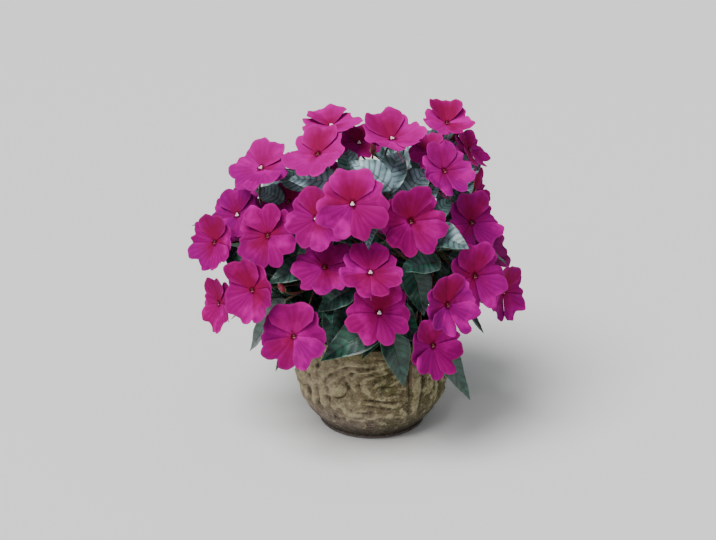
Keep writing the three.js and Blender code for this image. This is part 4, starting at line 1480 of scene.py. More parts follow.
@dataclass(frozen=True)
class PotForm:
    """The planter: its profile, its carved relief, its drain holes and how finely it is made."""

    outside: tuple = (
        (54.6, 0), (56.4, 0.9), (56.5, 2.4), (55.2, 3.6), (56.2, 5), (59, 8), (69.5, 20),
        (77.3, 36), (81, 57), (79.5, 76), (75.5, 93), (75, 100), (77.5, 105), (75.5, 110),
    )
    inside: tuple = ((69.5, 110), (67.5, 99), (71.5, 80), (73, 57), (68, 35), (58, 20), (41, 9))
    relief: float = 1.6
    smooth_foot: float = 6.0
    smooth_rim: float = 100.0
    motifs: int = 4
    scars: int = 44
    drains: int = 3
    drain_radius: float = 5.0
    drain_circle: float = 28.0
    columns: int = 360
    step: float = 0.9
    seed: int = 11
    inner_step: float = 2.5
    flat_step: float = 5.0
    pole: float = 2.0
    plain_cavity: float = 0.2

    def coarse(self, angle: Array, height: Array) -> Array:
        """Finds the relief that the solid carries.

        Args:
            angle: Angles round the wall.
            height: Heights up it.

        Returns:
            How far the wall stands out at each place.
        """
        belt = np.sin(np.pi * np.clip((height - 14) / 84, 0, 1))
        scroll = np.sin(5 * angle + 0.075 * height + 1.4 * np.sin(3 * angle))
        knobs = np.sin(9 * angle - 0.5) * np.cos(0.13 * height + 1)
        return self.relief * belt * (0.65 * scroll + 0.45 * knobs)

    def fine(self, angle: Array, height: Array) -> Array:
        """Finds the fine carving that is added to it: worn lumps, curling leaves, grooves and knobs.

        Args:
            angle: Angles round the wall.
            height: Heights up it.

        Returns:
            How far the carving stands out at each place.
        """
        spots = np.stack([np.cos(angle), np.sin(angle), height / POT_RADIUS], -1).reshape(-1, 3)
        lumps = [noise.fractal(Vector(spot * 3.6), 0.6, 2.1, 4) for spot in spots]
        pits = [noise.fractal(Vector(spot * 15), 0.4, 2.3, 4) for spot in spots]
        lift = (1.2 * np.array(lumps) + 0.5 * np.array(pits)).reshape(angle.shape)
        noise.seed_set(self.seed)
        warps = [noise.noise_vector(Vector(spot * 3.1)) for spot in spots]
        warp = np.array(warps).reshape(*angle.shape, 3) * 3.6
        around, height = angle * POT_RADIUS + warp[..., 0], height + warp[..., 1] * 0.8
        for stroke in self.strokes():
            lift += stroke.relief(around, height)
        belt = np.clip(np.minimum((height - 8) / 19, (101 - height) / 6), 0.12, 1)
        return belt * np.clip(lift, -3.0, 3.4)

    def strokes(self) -> list[Stroke]:
        """Lays the motif and its scars round the pot, every other one mirrored.

        Returns:
            The carved strokes.
        """
        draw = Draws(811).draw
        found = []
        for k in range(self.motifs):
            start = np.array([(k / self.motifs - 0.25) * 2 * np.pi * POT_RADIUS, 0])
            flip = -1 if k % 2 else 1
            for stroke in CARVING:
                shift = np.array([draw(-2, 2), draw(-1.5, 1.5)]) * (2.2 if k else 0.4)
                path = start + (np.array(stroke.path) + shift) * [flip, 1]
                left, right = (stroke.left, stroke.right) if flip > 0 else (stroke.right, stroke.left)
                depth = stroke.depth * draw(0.85, 1.15)
                found.append(Stroke(tuple(path), left, right, depth, stroke.tapered))
            for _ in range(self.scars):
                scar = start + [draw(-64, 64), draw(14, 98)]
                turn, width = draw(-1.5, 1.5), draw(0.6, 1.3)
                along = np.array([math.cos(turn), math.sin(turn)]) * draw(2, 9)
                path = (scar, scar + along * 0.5 + [0, draw(-1.5, 1.5)], scar + along)
                found.append(Stroke(path, width, width, draw(-1.4, 1.0), False))
        return found

    def profile(self, rows: tuple, step: float) -> Array:
        """Cuts a profile into short steps.

        Args:
            rows: Its corners, each a radius and a height.
            step: The length of a step.

        Returns:
            The radius and height of each ring.
        """
        parts = []
        for a, b in zip(rows[:-1], rows[1:]):
            count = max(int(math.dist(a, b) / step), 1)
            parts.append(np.linspace(a, b, count, endpoint=False))
        return np.concatenate(parts + [np.array([rows[-1]])])

    def cavity(self, carved: Array) -> Array:
        """Finds how hollow the wall is, by how far it lies under the mean of what is round it, for the
        painted shade in the hollows and the painted highlights on what stands proud.

        Args:
            carved: The height of the carving at each place.

        Returns:
            The hollow at each place, from 0 to 1.
        """
        mean = carved.copy()
        for shift in (1, 2, 4):
            steps = [(i, j) for i in (-shift, shift) for j in (-shift, shift)]
            mean = (mean + sum(np.roll(mean, step, (0, 1)) for step in steps)) / 5
        return np.clip(0.28 - 0.52 * (carved - mean) - 0.07 * carved, 0, 1)

    def build(self, material: Material) -> Piece:
        """Makes the pot as one closed piece.

        Args:
            material: Its material.

        Returns:
            The piece.
        """
        floor_height = self.inside[-1][1]
        base = self.profile(((self.pole, 0), self.outside[0]), self.flat_step)[:-1]
        outer = self.profile(self.outside, self.step)
        inner = self.profile((self.outside[-1], *self.inside), self.inner_step)[1:]
        floor = self.profile((self.inside[-1], (self.pole, floor_height)), self.flat_step)[1:]
        rows = np.concatenate([base, outer, inner, floor])
        angle = np.linspace(0, 2 * np.pi, self.columns, endpoint=False)
        around, radius = np.meshgrid(angle, rows[:, 0])
        height = np.repeat(rows[:, 1:], self.columns, 1)
        wall = slice(len(base), len(base) + len(outer))
        carved = np.zeros_like(radius)
        carved[wall] = self.fine(around[wall], height[wall])
        lift = self.coarse(around[wall], height[wall]) + carved[wall]
        rough = (height[wall] > self.smooth_foot) & (height[wall] < self.smooth_rim)
        radius[wall] += np.where(rough, lift, 0)
        points = np.stack([np.cos(around) * radius, np.sin(around) * radius, height], -1).reshape(-1, 3)
        cavity = np.full_like(radius, self.plain_cavity)
        cavity[wall] = self.cavity(carved)[wall]
        uv = np.stack([around / (2 * np.pi), height / POT_HEIGHT], -1).reshape(-1, 2)
        count = len(points)
        blocks = [
            grid_faces(len(rows), self.columns, wrap=True),
            fan_faces(count, 0, self.columns, upward=False),
            fan_faces(count + 1, count - self.columns, self.columns, upward=True),
        ]
        data = MeshData("cavity")
        data.add(
            np.concatenate([points, [[0, 0, 0], [0, 0, floor_height]]]),
            blocks,
            np.concatenate([uv, np.zeros((2, 2))]),
            cavity=np.concatenate([cavity.ravel(), np.full(2, self.plain_cavity)]),
        )
        piece = data.to_object("pot_carved", [material])
        self.drill(piece)
        return piece

    def drill(self, piece: Piece) -> None:
        """Cuts the drain holes.

        Args:
            piece: The pot.
        """
        for k in range(self.drains):
            angle = math.radians(30 + 360 / self.drains * k)
            reach = self.drain_circle * MM
            place = (reach * math.cos(angle), reach * math.sin(angle), 0.005)
            radius = self.drain_radius * MM
            bpy.ops.mesh.primitive_cylinder_add(vertices=32, radius=radius, depth=0.03, location=place)
            cutter = bpy.context.object
            modifier = piece.modifiers.new("drain", "BOOLEAN")
            modifier.operation = "DIFFERENCE"
            modifier.solver = "EXACT"
            modifier.object = cutter
            mesh = evaluated_mesh(piece)
            piece.modifiers.clear()
            piece.data = mesh
            bpy.data.objects.remove(cutter)


class Crumbs:
    """Grains scattered over the upper part of a surface."""

    def __init__(self) -> None:
        """Makes the node tree."""
        self.tree = GeometryTree(
            "scattered_crumbs", ("Density", "NodeSocketFloat", 40000.0), ("Size", "NodeSocketFloat", 0.001),
            ("Level", "NodeSocketFloat", 0.0905), ("Seed", "NodeSocketInt", 5),
            ("Material", "NodeSocketMaterial", None),
        )
        add, given = self.tree.add, self.tree.start.outputs
        axes = add("ShaderNodeSeparateXYZ", {"Vector": add("GeometryNodeInputPosition").outputs["Position"]})
        high = add(
            "FunctionNodeCompare", {0: axes.outputs["Z"], 1: given["Level"]},
            data_type="FLOAT", operation="GREATER_THAN",
        )
        spread = add("GeometryNodeDistributePointsOnFaces", {
            "Mesh": given["Geometry"], "Selection": high.outputs["Result"],
            "Density": given["Density"], "Seed": given["Seed"],
        })
        grain = add("GeometryNodeMeshIcoSphere", {"Radius": given["Size"], "Subdivisions": 1})
        turn = add("FunctionNodeRandomValue", data_type="FLOAT_VECTOR")
        turn.inputs[1].default_value = (FULL_TURN, FULL_TURN, FULL_TURN)
        scale = add("FunctionNodeRandomValue", data_type="FLOAT_VECTOR")
        scale.inputs[0].default_value = (0.4, 0.4, 0.3)
        scale.inputs[1].default_value = (1.7, 1.5, 1.1)
        scattered = add("GeometryNodeInstanceOnPoints", {
            "Points": spread.outputs["Points"], "Instance": grain.outputs["Mesh"],
            "Rotation": turn.outputs[0], "Scale": scale.outputs[0],
        })
        self.tree.close(scattered.outputs["Instances"])

    def build(self, surface: Piece, name: str, material: Material,
              **values: float) -> Piece:
        """Scatters grains over a surface, by the values of the tree's inputs, and returns them as a piece."""
        source = link_new(name + "_ground", surface.data.copy())
        return self.tree.apply(source, name, Material=material, **values)


@dataclass(frozen=True)
class SoilForm:
    """The soil in the pot: a lumpy body and the crumbs on it."""

    profile: tuple = (
        (0, 9.3), (40.6, 9.3), (57.6, 20.3), (67.6, 35.3), (72.6, 57.3), (71.1, 80.3), (69.6, 88), (66, 91),
    )
    top_radii: tuple = (62, 1.5)
    rings: int = 24
    sides: int = 72
    lump: float = 1.4

    def build(self, material: Material) -> Piece:
        """Makes the soil's body.

        Args:
            material: Its material.

        Returns:
            The piece.
        """
        top = np.stack([np.linspace(*self.top_radii, self.rings), np.full(self.rings, SOIL_TOP)], -1)
        data = MeshData()
        add_lathe(data, np.concatenate([self.profile, top, [[0, SOIL_TOP]]]), self.sides, np.zeros(3), UP)
        points = data.vertices[0]
        spots = [Vector(point) for point in points]
        waves = [noise.noise(spot * 0.16) + 0.6 * noise.noise(spot * 0.5) for spot in spots]
        points[:, 2] += np.where(points[:, 2] > SOIL_TOP - 0.5, self.lump * np.array(waves) - 0.6, 0)
        return data.to_object("soil_body", [material])


@dataclass(frozen=True)
class StemForm:
    """How a stem is made finely: its joints and tip, and the radii of its stalks from foot to end."""

    swell: float = 0.9
    swell_reach: float = 1.4
    tip_radius: float = 1.6
    stalk: tuple = (1.35, 1.0)
    spent_stalk: tuple = (1.2, 0.7)

    def line(self, stem: Stem) -> tuple[Array, Array]:
        """Finds the line of a stem, from its foot to its crown, thicker at its joints.

        Args:
            stem: The stem.

        Returns:
            The places along it and its radius at each.
        """
        straight = stem.foot + (stem.curve.start - stem.foot) * np.linspace(0, 1, 4)[:-1, None]
        curved = stem.curve.points(STEM_STEPS)
        tip = curved[-1] + stem.curve.tangent(1) * CROWN_LENGTH
        points = np.concatenate([straight, curved, [tip]])
        steps = np.arange(len(points))
        radii = np.interp(steps, [3, len(points) - 1], [STEM_RADIUS, STEM_TIP_RADIUS])
        for joint in JOINTS:
            radii += self.swell * np.exp(-((steps - 3 - STEM_STEPS * joint) / self.swell_reach) ** 2)
        radii[-1] = self.tip_radius
        return points, radii

    def tapered(self, curve: Curve, steps: int, radii: tuple) -> tuple[Array, Array]:
        """Returns the places along a stalk and its radius at each."""
        return curve.points(steps), np.linspace(*radii, steps + 1)


@dataclass(frozen=True)
class LeafForm:
    """How a leaf is made finely: its grid, veins, teeth, thickness and painted sheen."""

    pairs: int = 9
    rows: int = 4
    columns: tuple = (0, 0.045, 0.14, 0.34, 0.58, 0.82, 0.96, 1)
    sweep: float = 0.13
    thickness: float = 0.36
    quilt: float = 0.42
    tooth: float = 0.45
    narrowest: float = 0.35
    # Where the painted sheen starts and how far up it grows, in millimetres
    wax_foot: float = 208.0
    wax_height: float = 60.0
    petiole: tuple = (1.5, 1.25)
    midrib: tuple = (1.1, 0.25)

    def wax(self, place: Array, leaf: Leaf, phase: Array) -> Array:
        """Finds how strong the painted sheen, a painted reflection of the light from above, is: more so high
        on the plant and between the veins.

        Args:
            place: The midrib's places.
            leaf: The leaf.
            phase: How far each row lies from one pair of veins to the next, from 0 to 1.

        Returns:
            The painted sheen at each place, from 0 to 1.
        """
        wax = np.clip((place[..., 2] - self.wax_foot) / self.wax_height, 0.05, 0.97)
        wax = wax * (0.5 + 0.65 * (leaf.phase * 7 % 1))
        return np.clip(wax * (0.7 + 0.4 * np.sin(np.pi * phase)[:, None]), 0, 1)

    def add(self, data: MeshData, leaf: Leaf, tone: float, young: float = 0.0) -> None:
        """Adds a leaf's blade.

        Args:
            data: The mesh that it goes into.
            leaf: The leaf.
            tone: How purple it is.
            young: How pale and green it is.
        """
        half = np.array(self.columns)
        across = np.concatenate([-half[:0:-1], half])
        count = self.pairs * self.rows + 1
        s, base = np.meshgrid(across, np.linspace(0, 1, count))
        side = np.abs(s)
        t = base + self.sweep * side**1.2 * 4 * base * (1 - base)
        phase = (np.arange(count) % self.rows) / self.rows
        bulge = np.sin(np.pi * phase)[:, None] * np.sin(np.pi * np.clip(side, 0, 1)) ** 0.6
        place, direction, normal = leaf.frames(t)
        width = np.maximum(leaf.half_width(t), self.narrowest)
        scale = leaf.width / LEAF_WIDTH
        tooth = self.tooth * scale * (phase[:, None] - 0.4) * (side > 0.9) * (width > 2)
        fade = np.clip(width / 6, 0, 1)
        rise = leaf.rise(s, t, width) + self.quilt * scale * fade * (bulge - 0.5 * (side < 0.03))
        reach = s * width * LEAF_SPREAD + np.sign(s) * tooth
        middle = place + direction * reach[..., None] + normal * rise[..., None]
        thick = self.thickness * scale * np.where(side > 0.99, 0.4, 1) * np.clip(width / 3, 0.5, 1)
        vein = (phase == 0)[:, None] * (side < 0.97) * 1.0
        add_sheet(
            data, middle, thick, np.stack([s * 0.5 + 0.5, t], -1), tone=tone, vein=vein,
            rib=(side < 0.03) * 1.0, rim=(side > 0.97) * 1.0, young=young, wax=self.wax(place, leaf, phase),
        )

    def lines(self, leaf: Leaf) -> tuple[Array, Array]:
        """Finds the line of the petiole, run on under the midrib.

        Args:
            leaf: The leaf.

        Returns:
            The places along it and its radius at each.
        """
        stalk = leaf.root + (leaf.base - leaf.root) * np.linspace(0, 1, 4)[:, None]
        place, _, normal = leaf.frames(np.linspace(0.05, 0.8, 6))
        radii = np.concatenate([np.linspace(*self.petiole, 4), np.linspace(*self.midrib, 6)])
        return np.concatenate([stalk, place - normal * 0.4]), radii * math.sqrt(leaf.width / LEAF_WIDTH)


@dataclass(frozen=True)
class PetalNature:
    """What makes one petal differ from the next: its outline, its waves and its colour."""

    skew: float
    ruffle: float
    jag: float
    notch: float
    corner: float
    length: float
    slip: float
    curl_before: float
    curl_after: float
    tip: float
    wing: float
    slant: float
    flush: float
    flush_end: float
    tone: float

    @classmethod
    def drawn(cls, draws: Draws, upper: bool) -> "PetalNature":
        """Draws a petal's nature, one number after another.

        Args:
            draws: The source of the numbers.
            upper: Whether it is the upper petal, which has the deepest flush and no slant.

        Returns:
            The nature.
        """
        draw = draws.draw
        return cls(
            skew=draw(-0.08, 0.08), ruffle=draw(0, FULL_TURN), jag=draw(0, FULL_TURN),
            notch=draw(0.03, 0.14), corner=draw(0.1, 0.26), length=draw(0.95, 1.03), slip=draw(-0.16, 0.16),
            curl_before=draw(-3.6, 1.0), curl_after=draw(-3.6, 1.0), tip=draw(-2.2, 2.2),
            wing=max(draw(-5, 6), -1.0),
            slant=0.0 if upper else draw(0.6, 1.5),
            flush=draw(0.7, 1.6) if upper else max(draw(-0.1, 1.2), 0.1),
            flush_end=draw(1.0, 1.7) if upper else draw(0.7, 1.5),
            tone=draw(-0.25, 0.25),
        )

    def trim(self, s: Array) -> Array:
        """Finds the part of the petal's length that its corners, notch and small waves leave.

        Args:
            s: Places across it, from -1 to 1.

        Returns:
            The part at each place, about 1.
        """
        left = (1 - self.corner * np.abs(s) ** 5) * (1 - self.notch * np.exp(-((s / 0.14) ** 2)))
        left = left * (1 + self.skew * s) * self.length
        return left * (1 + 0.02 * np.sin(9 * s + self.ruffle) + 0.014 * np.sin(16 * s + self.jag))

    def waves(self, s: Array, t: Array) -> Array:
        """Finds how the petal curls, tips and ruffles.

        Args:
            s: Places across it, from -1 to 1.
            t: Places out along it, from 0 to 1.

        Returns:
            The height that this adds at each place.
        """
        side = np.abs(s)
        curl = np.where(s < 0, self.curl_before, self.curl_after) * np.clip(side / 0.3, 0, 1)
        rise = curl * np.clip((t - 0.62) / 0.38, 0, 1) ** 2 + self.tip * t * t
        rise += self.wing * side**1.6 * t * t + self.slant * s * t
        return rise + 0.9 * t**3 * np.sin(8 * s + self.ruffle) + 0.6 * t**4 * np.sin(16 * s + self.jag)

    def flushed(self, s: Array, t: Array) -> Array:
        """Returns how crimson the petal is at each place, from its heart outwards."""
        part = np.clip((self.flush_end - t) / (self.flush_end - 0.1), 0, 1)
        return self.flush * part * (1 - 0.2 * np.abs(s))


# A flower's material slots after the petals' own
CALYX_SLOT, CAP_SLOT, THROAT_SLOT, SPECK_SLOT = range(1, 5)


@dataclass(frozen=True)
class BloomForm:
    """How a bloom is made finely: petals, eye, sepals and spur."""

    rows: int = 17
    columns: int = 21
    thickness: float = 0.3
    pillow: float = 1.8
    crease: float = 0.6
    widen: tuple = (1.12, 1.1, 1.1, 1.02, 1.02)
    # Whether each petal lies over (1) or under (-1) its neighbour, before and after it clockwise
    overlaps: tuple = ((1, 1), (-1, -1), (-1, -1), (1, 1), (-1, 1))
    # Radius and height of each ring of the small round bodies at the bloom's middle
    hub: tuple = ((0, -6.8), (1.3, -6.6), (1.7, -4), (2.3, -2.4), (1.8, -1.0), (0, -0.6))
    sepal: tuple = ((0, 0), (1.0, 1.2), (1.1, 2.6), (0.6, 4.4), (0, 5.2))
    lobe: tuple = ((0, 0.0), (0.9, 0.3), (1.15, 1.0), (0.8, 1.7), (0, 2.0))
    lip: tuple = ((0, 0.0), (1.2, 0.2), (1.45, 0.8), (0.9, 1.4), (0, 1.5))
    speck: tuple = ((0, 0.2), (0.4, 0.5), (0.42, 1.1), (0.2, 1.4), (0, 1.5))
    spur_radii: tuple = (1.3, 0.4)

    def overlapped(self, rise: Array, s: Array, t: Array, index: int) -> Array:
        """Holds a petal's sides off its neighbours: no wave of it crosses the petal that it overlaps.

        Args:
            rise: The height of its waves.
            s: Places across it, from -1 to 1.
            t: Places out along it, from 0 to 1.
            index: The petal's number.

        Returns:
            The height at each place.
        """
        over = np.where(s < 0, *self.overlaps[index])
        held = np.clip((np.abs(s) - 0.16) / 0.26, 0, 1)
        return np.where(rise * over < 0, rise * (1 - held), rise) + 0.35 * over * held * np.clip(3 * t, 0, 1)

    def add_petals(self, data: MeshData, bloom: Bloom, draws: Draws) -> None:
        """Adds the five petals, each two rounded lobes with a crease between them.

        Args:
            data: The mesh that they go into.
            bloom: The bloom.
            draws: The source of small differences.
        """
        tone = draws.draw(0, 1)
        s, t = np.meshgrid(np.linspace(-1, 1, self.columns), np.linspace(0, 1, self.rows) ** 0.8)
        side = np.abs(s)
        # Where the painted highlight along the petals' edges lies
        rim = np.maximum(np.clip(t * 11 - 10, 0, 1), np.clip(side * 8 - 7, 0, 1) * np.clip(t * 3 - 1, 0, 1))
        vein = (0.5 + 0.5 * np.cos(7 * np.pi * s)) ** 2 * np.clip(t * 4, 0, 1) * np.clip((1 - t) * 4, 0, 1)
        thick = self.thickness * np.where((side > 0.99) | (t > 0.99), 0.35, 1.0)
        for index, row in enumerate(PETALS):
            petal = replace(row, spread=row.spread * self.widen[index])
            nature = PetalNature.drawn(draws, index == 0)
            slip = s + nature.slip * (1 - s * s)
            middle = bloom.petal_points(petal, slip, t * (1 - (1 - nature.trim(s)) * t))
            middle[..., 2] -= petal.layer * (1 - 0.62 * np.clip(t / 0.7, 0, 1))
            rise = self.pillow * np.sin(np.pi * side) * t * (1.15 - t)
            rise -= self.crease * np.exp(-((s / 0.09) ** 2)) * t * (1.1 - 0.5 * t)
            rise = self.overlapped(rise + nature.waves(s, t), s, t, index)
            middle[..., 2] += (rise - 0.1 * vein) * (bloom.size / BLOOM_DIAMETER)
            add_sheet(
                data, middle @ bloom.turn.T + bloom.centre, thick, np.stack([s * 0.5 + 0.5, t], -1),
                out=t, vein=vein, rim=rim, tone=np.clip(tone + nature.tone, 0, 1), flush=nature.flushed(s, t),
            )

    def add_eye(self, data: MeshData, bloom: Bloom) -> None:
        """Adds the hub, the sepals and the eye.

        Args:
            data: The mesh that they go into.
            bloom: The bloom.
        """
        right, up, axis = bloom.turn.T
        add_lathe(data, self.hub, 10, bloom.centre, axis, CALYX_SLOT)
        for side in (-1, 1):
            aim = unit(right * side - axis * 0.5 + up * 0.3)
            add_lathe(data, self.sepal, 8, bloom.centre - axis * 5, aim, CALYX_SLOT)
        if bloom.eye is Eye.CAP:
            for out in map(bloom.spoke, (90, 215, 325)):
                place = bloom.centre + out * 0.85 + axis * 0.3
                add_lathe(data, self.lobe, 10, place, unit(axis + out * 0.35), CAP_SLOT)
        else:
            # A dark body stands for the opening of the throat, its dark painted shade with brown marks
            add_lathe(data, self.lip, 12, bloom.centre + up * 0.3, axis, THROAT_SLOT)
            for out in map(bloom.spoke, (250, 300)):
                place = bloom.centre + out * 1.4
                add_lathe(data, self.speck, 8, place, unit(axis + out * 0.5), SPECK_SLOT)

    def spur_line(self, bloom: Bloom) -> tuple[Array, Array]:
        """Returns the places and radii of the spur."""
        points = bloom.spur_curve().points(14) @ bloom.turn.T + bloom.centre
        return points, np.linspace(*self.spur_radii, 15)


@dataclass(frozen=True)
class BudForm:
    """How a bud is made finely: its body and two sepals."""

    body: tuple = ((0, 0), (1.4, 1), (2.5, 4), (3.1, 8), (2.5, 11), (1.4, 13.4), (0, 15))
    sepal: tuple = ((0, -0.6), (1.2, 0.6), (1.2, 2.4), (0.7, 4.6), (0, 6))

    def add(self, data: MeshData, place: Array, normal: Array) -> None:
        """Adds a bud.

        Args:
            data: The mesh that it goes into.
            place: The end of its stalk.
            normal: The direction in which it points.
        """
        foot = place - normal
        add_lathe(data, self.body, 16, foot, normal)
        across = unit(np.cross(normal, VIEW_BACK))
        for side in (-1, 1):
            aim = unit(normal + across * (0.3 * side))
            add_lathe(data, self.sepal, 8, foot + across * (1.2 * side), aim, CALYX_SLOT)


class Palette:
    """The plant's, the pot's and the soil's materials."""

    def __init__(self) -> None:
        """Makes them."""
        self.petal = PetalFinish().build()
        self.calyx = PlainFinish("calyx", "5f7a3c", "7a3a48").build()
        self.cap = PlainFinish("eye_cap", "fff0f2", "ffd0dc", 0.5, 0.3).build()
        # Painted shade of the throat's opening, with its brown marks
        self.throat = PlainFinish("eye_throat", "6a1c14", "2a0408", 0.4, 0.5, 500).build()
        self.speck = PlainFinish("eye_speck", "e8a090", "c86a70", 0.5, 0.3).build()
        self.leaf = LeafFinish().build()
        self.stem = PlainFinish("stem", "5a2028", "4d4a2c", 0.32, 0.55, 60).build()
        self.bud = PlainFinish("bud", "8a1030", "5c1a24", 0.35).build()
        self.spur = PlainFinish("spur", "d890b0", "b85a8a", 0.4).build()
        self.stone = StoneFinish().build()
        self.soil = SoilFinish().build()
        self.perlite = PlainFinish("perlite", "d8d4c8", "a8a090", 0.8, 0.3, 900).build()


class Plant:
    """The leafy stems and the blooms, made finely on the layout."""

    def __init__(self, layout: Layout, palette: Palette) -> None:
        """Keeps the layout and the materials.

        Args:
            layout: Where everything is.
            palette: The materials.
        """
        self.layout = layout
        self.palette = palette
        self.tubes = Tubes()
        self.draws = Draws(4177)

    def small_leaf(self, root: Array) -> Leaf:
        """Draws a small leaf.

        Args:
            root: Where it grows.

        Returns:
            The leaf.
        """
        draw = self.draws.draw
        outward = unit(root - CANOPY_CENTRE)
        turn, rise = draw(0, FULL_TURN), draw(-0.5, 0.9)
        aim = unit(np.array([math.cos(turn), math.sin(turn), rise]) + outward * draw(0, 0.8))
        length, neck = draw(20, 52), draw(6, 34)
        return Leaf(
            root=root + aim * ROOT_SHIFT,
            base=root + aim * neck,
            tip=root + aim * (neck + length) - UP * draw(0, 0.2) * length,
            face=unit(UP + outward * 0.6 - aim * 0.2),
            width=length * draw(0.36, 0.46),
            arch=draw(2, 6),
            phase=draw(0, FULL_TURN),
        )

    def fill_leaves(self, stem: Stem) -> list[Leaf]:
        """Grows small leaves between the others, wherever one stays clear of all that is placed.

        Args:
            stem: The stem that they grow on.

        Returns:
            The leaves.
        """
        beads, found = self.layout.beads, []
        for i in range(FILL_TRIES):
            along = 1.0 if i % 3 == 0 else self.draws.draw(0.35, 0.97)
            leaf = self.small_leaf(stem.curve.point(along))
            blade = leaf.bead_points()
            inside = np.linalg.norm((leaf.tip - CANOPY_CENTRE) / CANOPY_RADII) < FILL_REACH
            if inside and clear_of_pot(blade) and beads.is_clear(blade, FILL_BEAD, stem.name, 0.5):
                if beads.is_clear(leaf.petiole_points(), FILL_BEAD / 2, stem.name):
                    beads.add(blade, FILL_BEAD, stem.name)
                    found.append(leaf)
        return found

    def add_deep_leaves(self) -> None:
        """Grows the leaves that close gaps between the blooms, each on the nearest joint of any stem."""
        for row in DEEP_LEAVES:
            base, tip = on_canopy(row.x, row.y, row.lift), on_canopy(row.tip_x, row.tip_y, row.tip_lift)
            stem, place = self.layout.nearest_joint(base, JOINTS[1:])
            root = place + unit(base - place) * ROOT_SHIFT
            stem.leaves.append(Leaf(root, base, tip, LEAF_FACE, row.width, row.arch, row.x))

    def build_stem(self, stem: Stem) -> None:
        """Makes one leafy stem: its stem and stalks, its leaves and its buds.

        Args:
            stem: The stem.
        """
        body, form = StemForm(), LeafForm()
        small_form = LeafForm(pairs=5, columns=(0, 0.05, 0.3, 0.62, 0.93, 1))
        lines = [body.line(stem)] + [body.tapered(stalk, 14, body.stalk) for stalk in stem.stalks]
        if stem is self.layout.nearest_stem(SPENT_STALK[0]):
            lines.append(body.tapered(Curve(stem.crown, *SPENT_STALK), 20, body.spent_stalk))
        small = self.fill_leaves(stem)
        lines += [form.lines(leaf) for leaf in stem.leaves + small]
        place_piece(self.tubes.build(stem.name + "_stalks", lines, self.palette.stem), "foliage", stem.name)
        data = MeshData("tone", "vein", "rib", "rim", "young", "under", "wax")
        for leaf in stem.leaves:
            form.add(data, leaf, leaf.phase * 5 % 1)
        for leaf in small:
            young = max(self.draws.draw(-1.2, 0.7), 0)
            small_form.add(data, leaf, self.draws.draw(0.2, 1), young)
        place_piece(data.to_object(stem.name + "_leaves", [self.palette.leaf], 60), "foliage", stem.name)
        if stem.buds:
            data = MeshData()
            for place, normal in stem.buds:
                BudForm().add(data, place, normal)
            piece = data.to_object(stem.name + "_buds", [self.palette.bud, self.palette.calyx])
            place_piece(piece, "petals", stem.name)

    def build_blooms(self) -> None:
        """Makes every bloom."""
        form, draws, look = BloomForm(), Draws(61843), self.palette
        materials = [look.petal, look.calyx, look.cap, look.throat, look.speck]
        for bloom in self.layout.blooms:
            data = MeshData("tone", "out", "vein", "flush", "rim", "under")
            form.add_petals(data, bloom, draws)
            form.add_eye(data, bloom)
            place_piece(data.to_object(bloom.name + "_flower", materials, 70), "petals", bloom.name)
            spur = self.tubes.build(bloom.name + "_spur", [form.spur_line(bloom)], look.spur)
            place_piece(spur, "petals", bloom.name)

    def build(self) -> None:
        """Makes the whole plant."""
        self.add_deep_leaves()
        for stem in self.layout.stems:
            self.build_stem(stem)
        self.build_blooms()


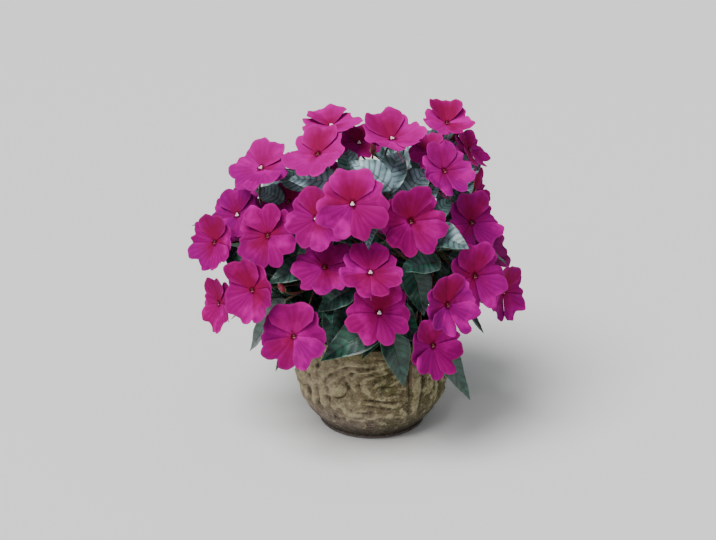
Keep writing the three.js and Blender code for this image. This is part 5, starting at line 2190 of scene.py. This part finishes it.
@dataclass(frozen=True)
class Studio:
    """The pale floor, the soft lights and the camera."""

    floor: str = "efefed"
    floor_size: float = 80.0
    floor_height: float = -0.0005
    floor_roughness: float = 0.85
    sky: str = "e9edf0"
    sky_strength: float = 0.38
    sun_power: float = 3.9
    sun_spread: float = 36.0
    sun_side: tuple = (-0.4, -0.42, 1.0)
    fill_power: float = 6.0
    fill_size: float = 1.4
    fill_place: tuple = (-0.9, -1.8, 1.2)
    fill_aim: tuple = (0, 0, 0.18)

    def add_floor(self) -> None:
        """Lays the floor."""
        bpy.ops.mesh.primitive_plane_add(size=self.floor_size, location=(0, 0, self.floor_height))
        floor = bpy.context.object
        floor.name = "floor"
        floor.data.materials.append(Shader("floor", self.floor).finish(self.floor_roughness))

    def add_sky(self) -> None:
        """Lights the scene evenly from all round."""
        world = bpy.data.worlds.new("studio")
        world.use_nodes = True
        backdrop = world.node_tree.nodes["Background"]
        backdrop.inputs["Color"].default_value = rgb(self.sky)
        backdrop.inputs["Strength"].default_value = self.sky_strength
        bpy.context.scene.world = world

    def add_sun(self) -> None:
        """Adds the broad soft light from above."""
        sun = bpy.data.lights.new("overcast", "SUN")
        sun.energy = self.sun_power
        sun.angle = math.radians(self.sun_spread)
        lamp = link_new("overcast", sun)
        lamp.rotation_euler = Vector(self.sun_side).to_track_quat("Z", "Y").to_euler()

    def add_fill(self) -> None:
        """Adds the soft square light at the front."""
        light = bpy.data.lights.new("front", "AREA")
        light.size = self.fill_size
        light.energy = self.fill_power
        lamp = link_new("front", light)
        lamp.location = self.fill_place
        away = Vector(self.fill_place) - Vector(self.fill_aim)
        lamp.rotation_euler = away.to_track_quat("Z", "Y").to_euler()

    def add_camera(self) -> None:
        """Adds the camera at the photograph's viewing angle."""
        camera = bpy.data.cameras.new("camera")
        camera.sensor_width = SENSOR_WIDTH
        camera.lens = VIEW_FOCAL * SENSOR_WIDTH / PICTURE_WIDTH
        camera.clip_end = 100
        eye = link_new("camera", camera)
        turn = Matrix((VIEW_RIGHT, VIEW_UP, VIEW_BACK)).transposed().to_4x4()
        eye.matrix_world = Matrix.Translation(Vector(VIEWPOINT * MM)) @ turn
        bpy.context.scene.camera = eye

    def build(self) -> None:
        """Sets the whole studio up."""
        self.add_sky()
        self.add_floor()
        self.add_sun()
        self.add_fill()
        self.add_camera()


def main() -> None:
    """Builds the pot, the soil, the plant and the studio."""
    logging.basicConfig(level=logging.INFO, format="%(message)s")
    palette = Palette()
    place_piece(PotForm().build(palette.stone), "pot_stone", "pot")
    soil = SoilForm().build(palette.soil)
    crumbs = Crumbs()
    place_piece(crumbs.build(soil, "soil_crumbs", palette.soil, Size=0.0016, Seed=7), "soil", "soil")
    perlite = crumbs.build(soil, "soil_perlite", palette.perlite, Size=0.0013, Density=3500.0, Seed=3)
    place_piece(perlite, "soil", "soil")
    place_piece(soil, "soil", "soil")
    Plant(Layout(), palette).build()
    Studio().build()


if __name__ == "__main__":
    main()
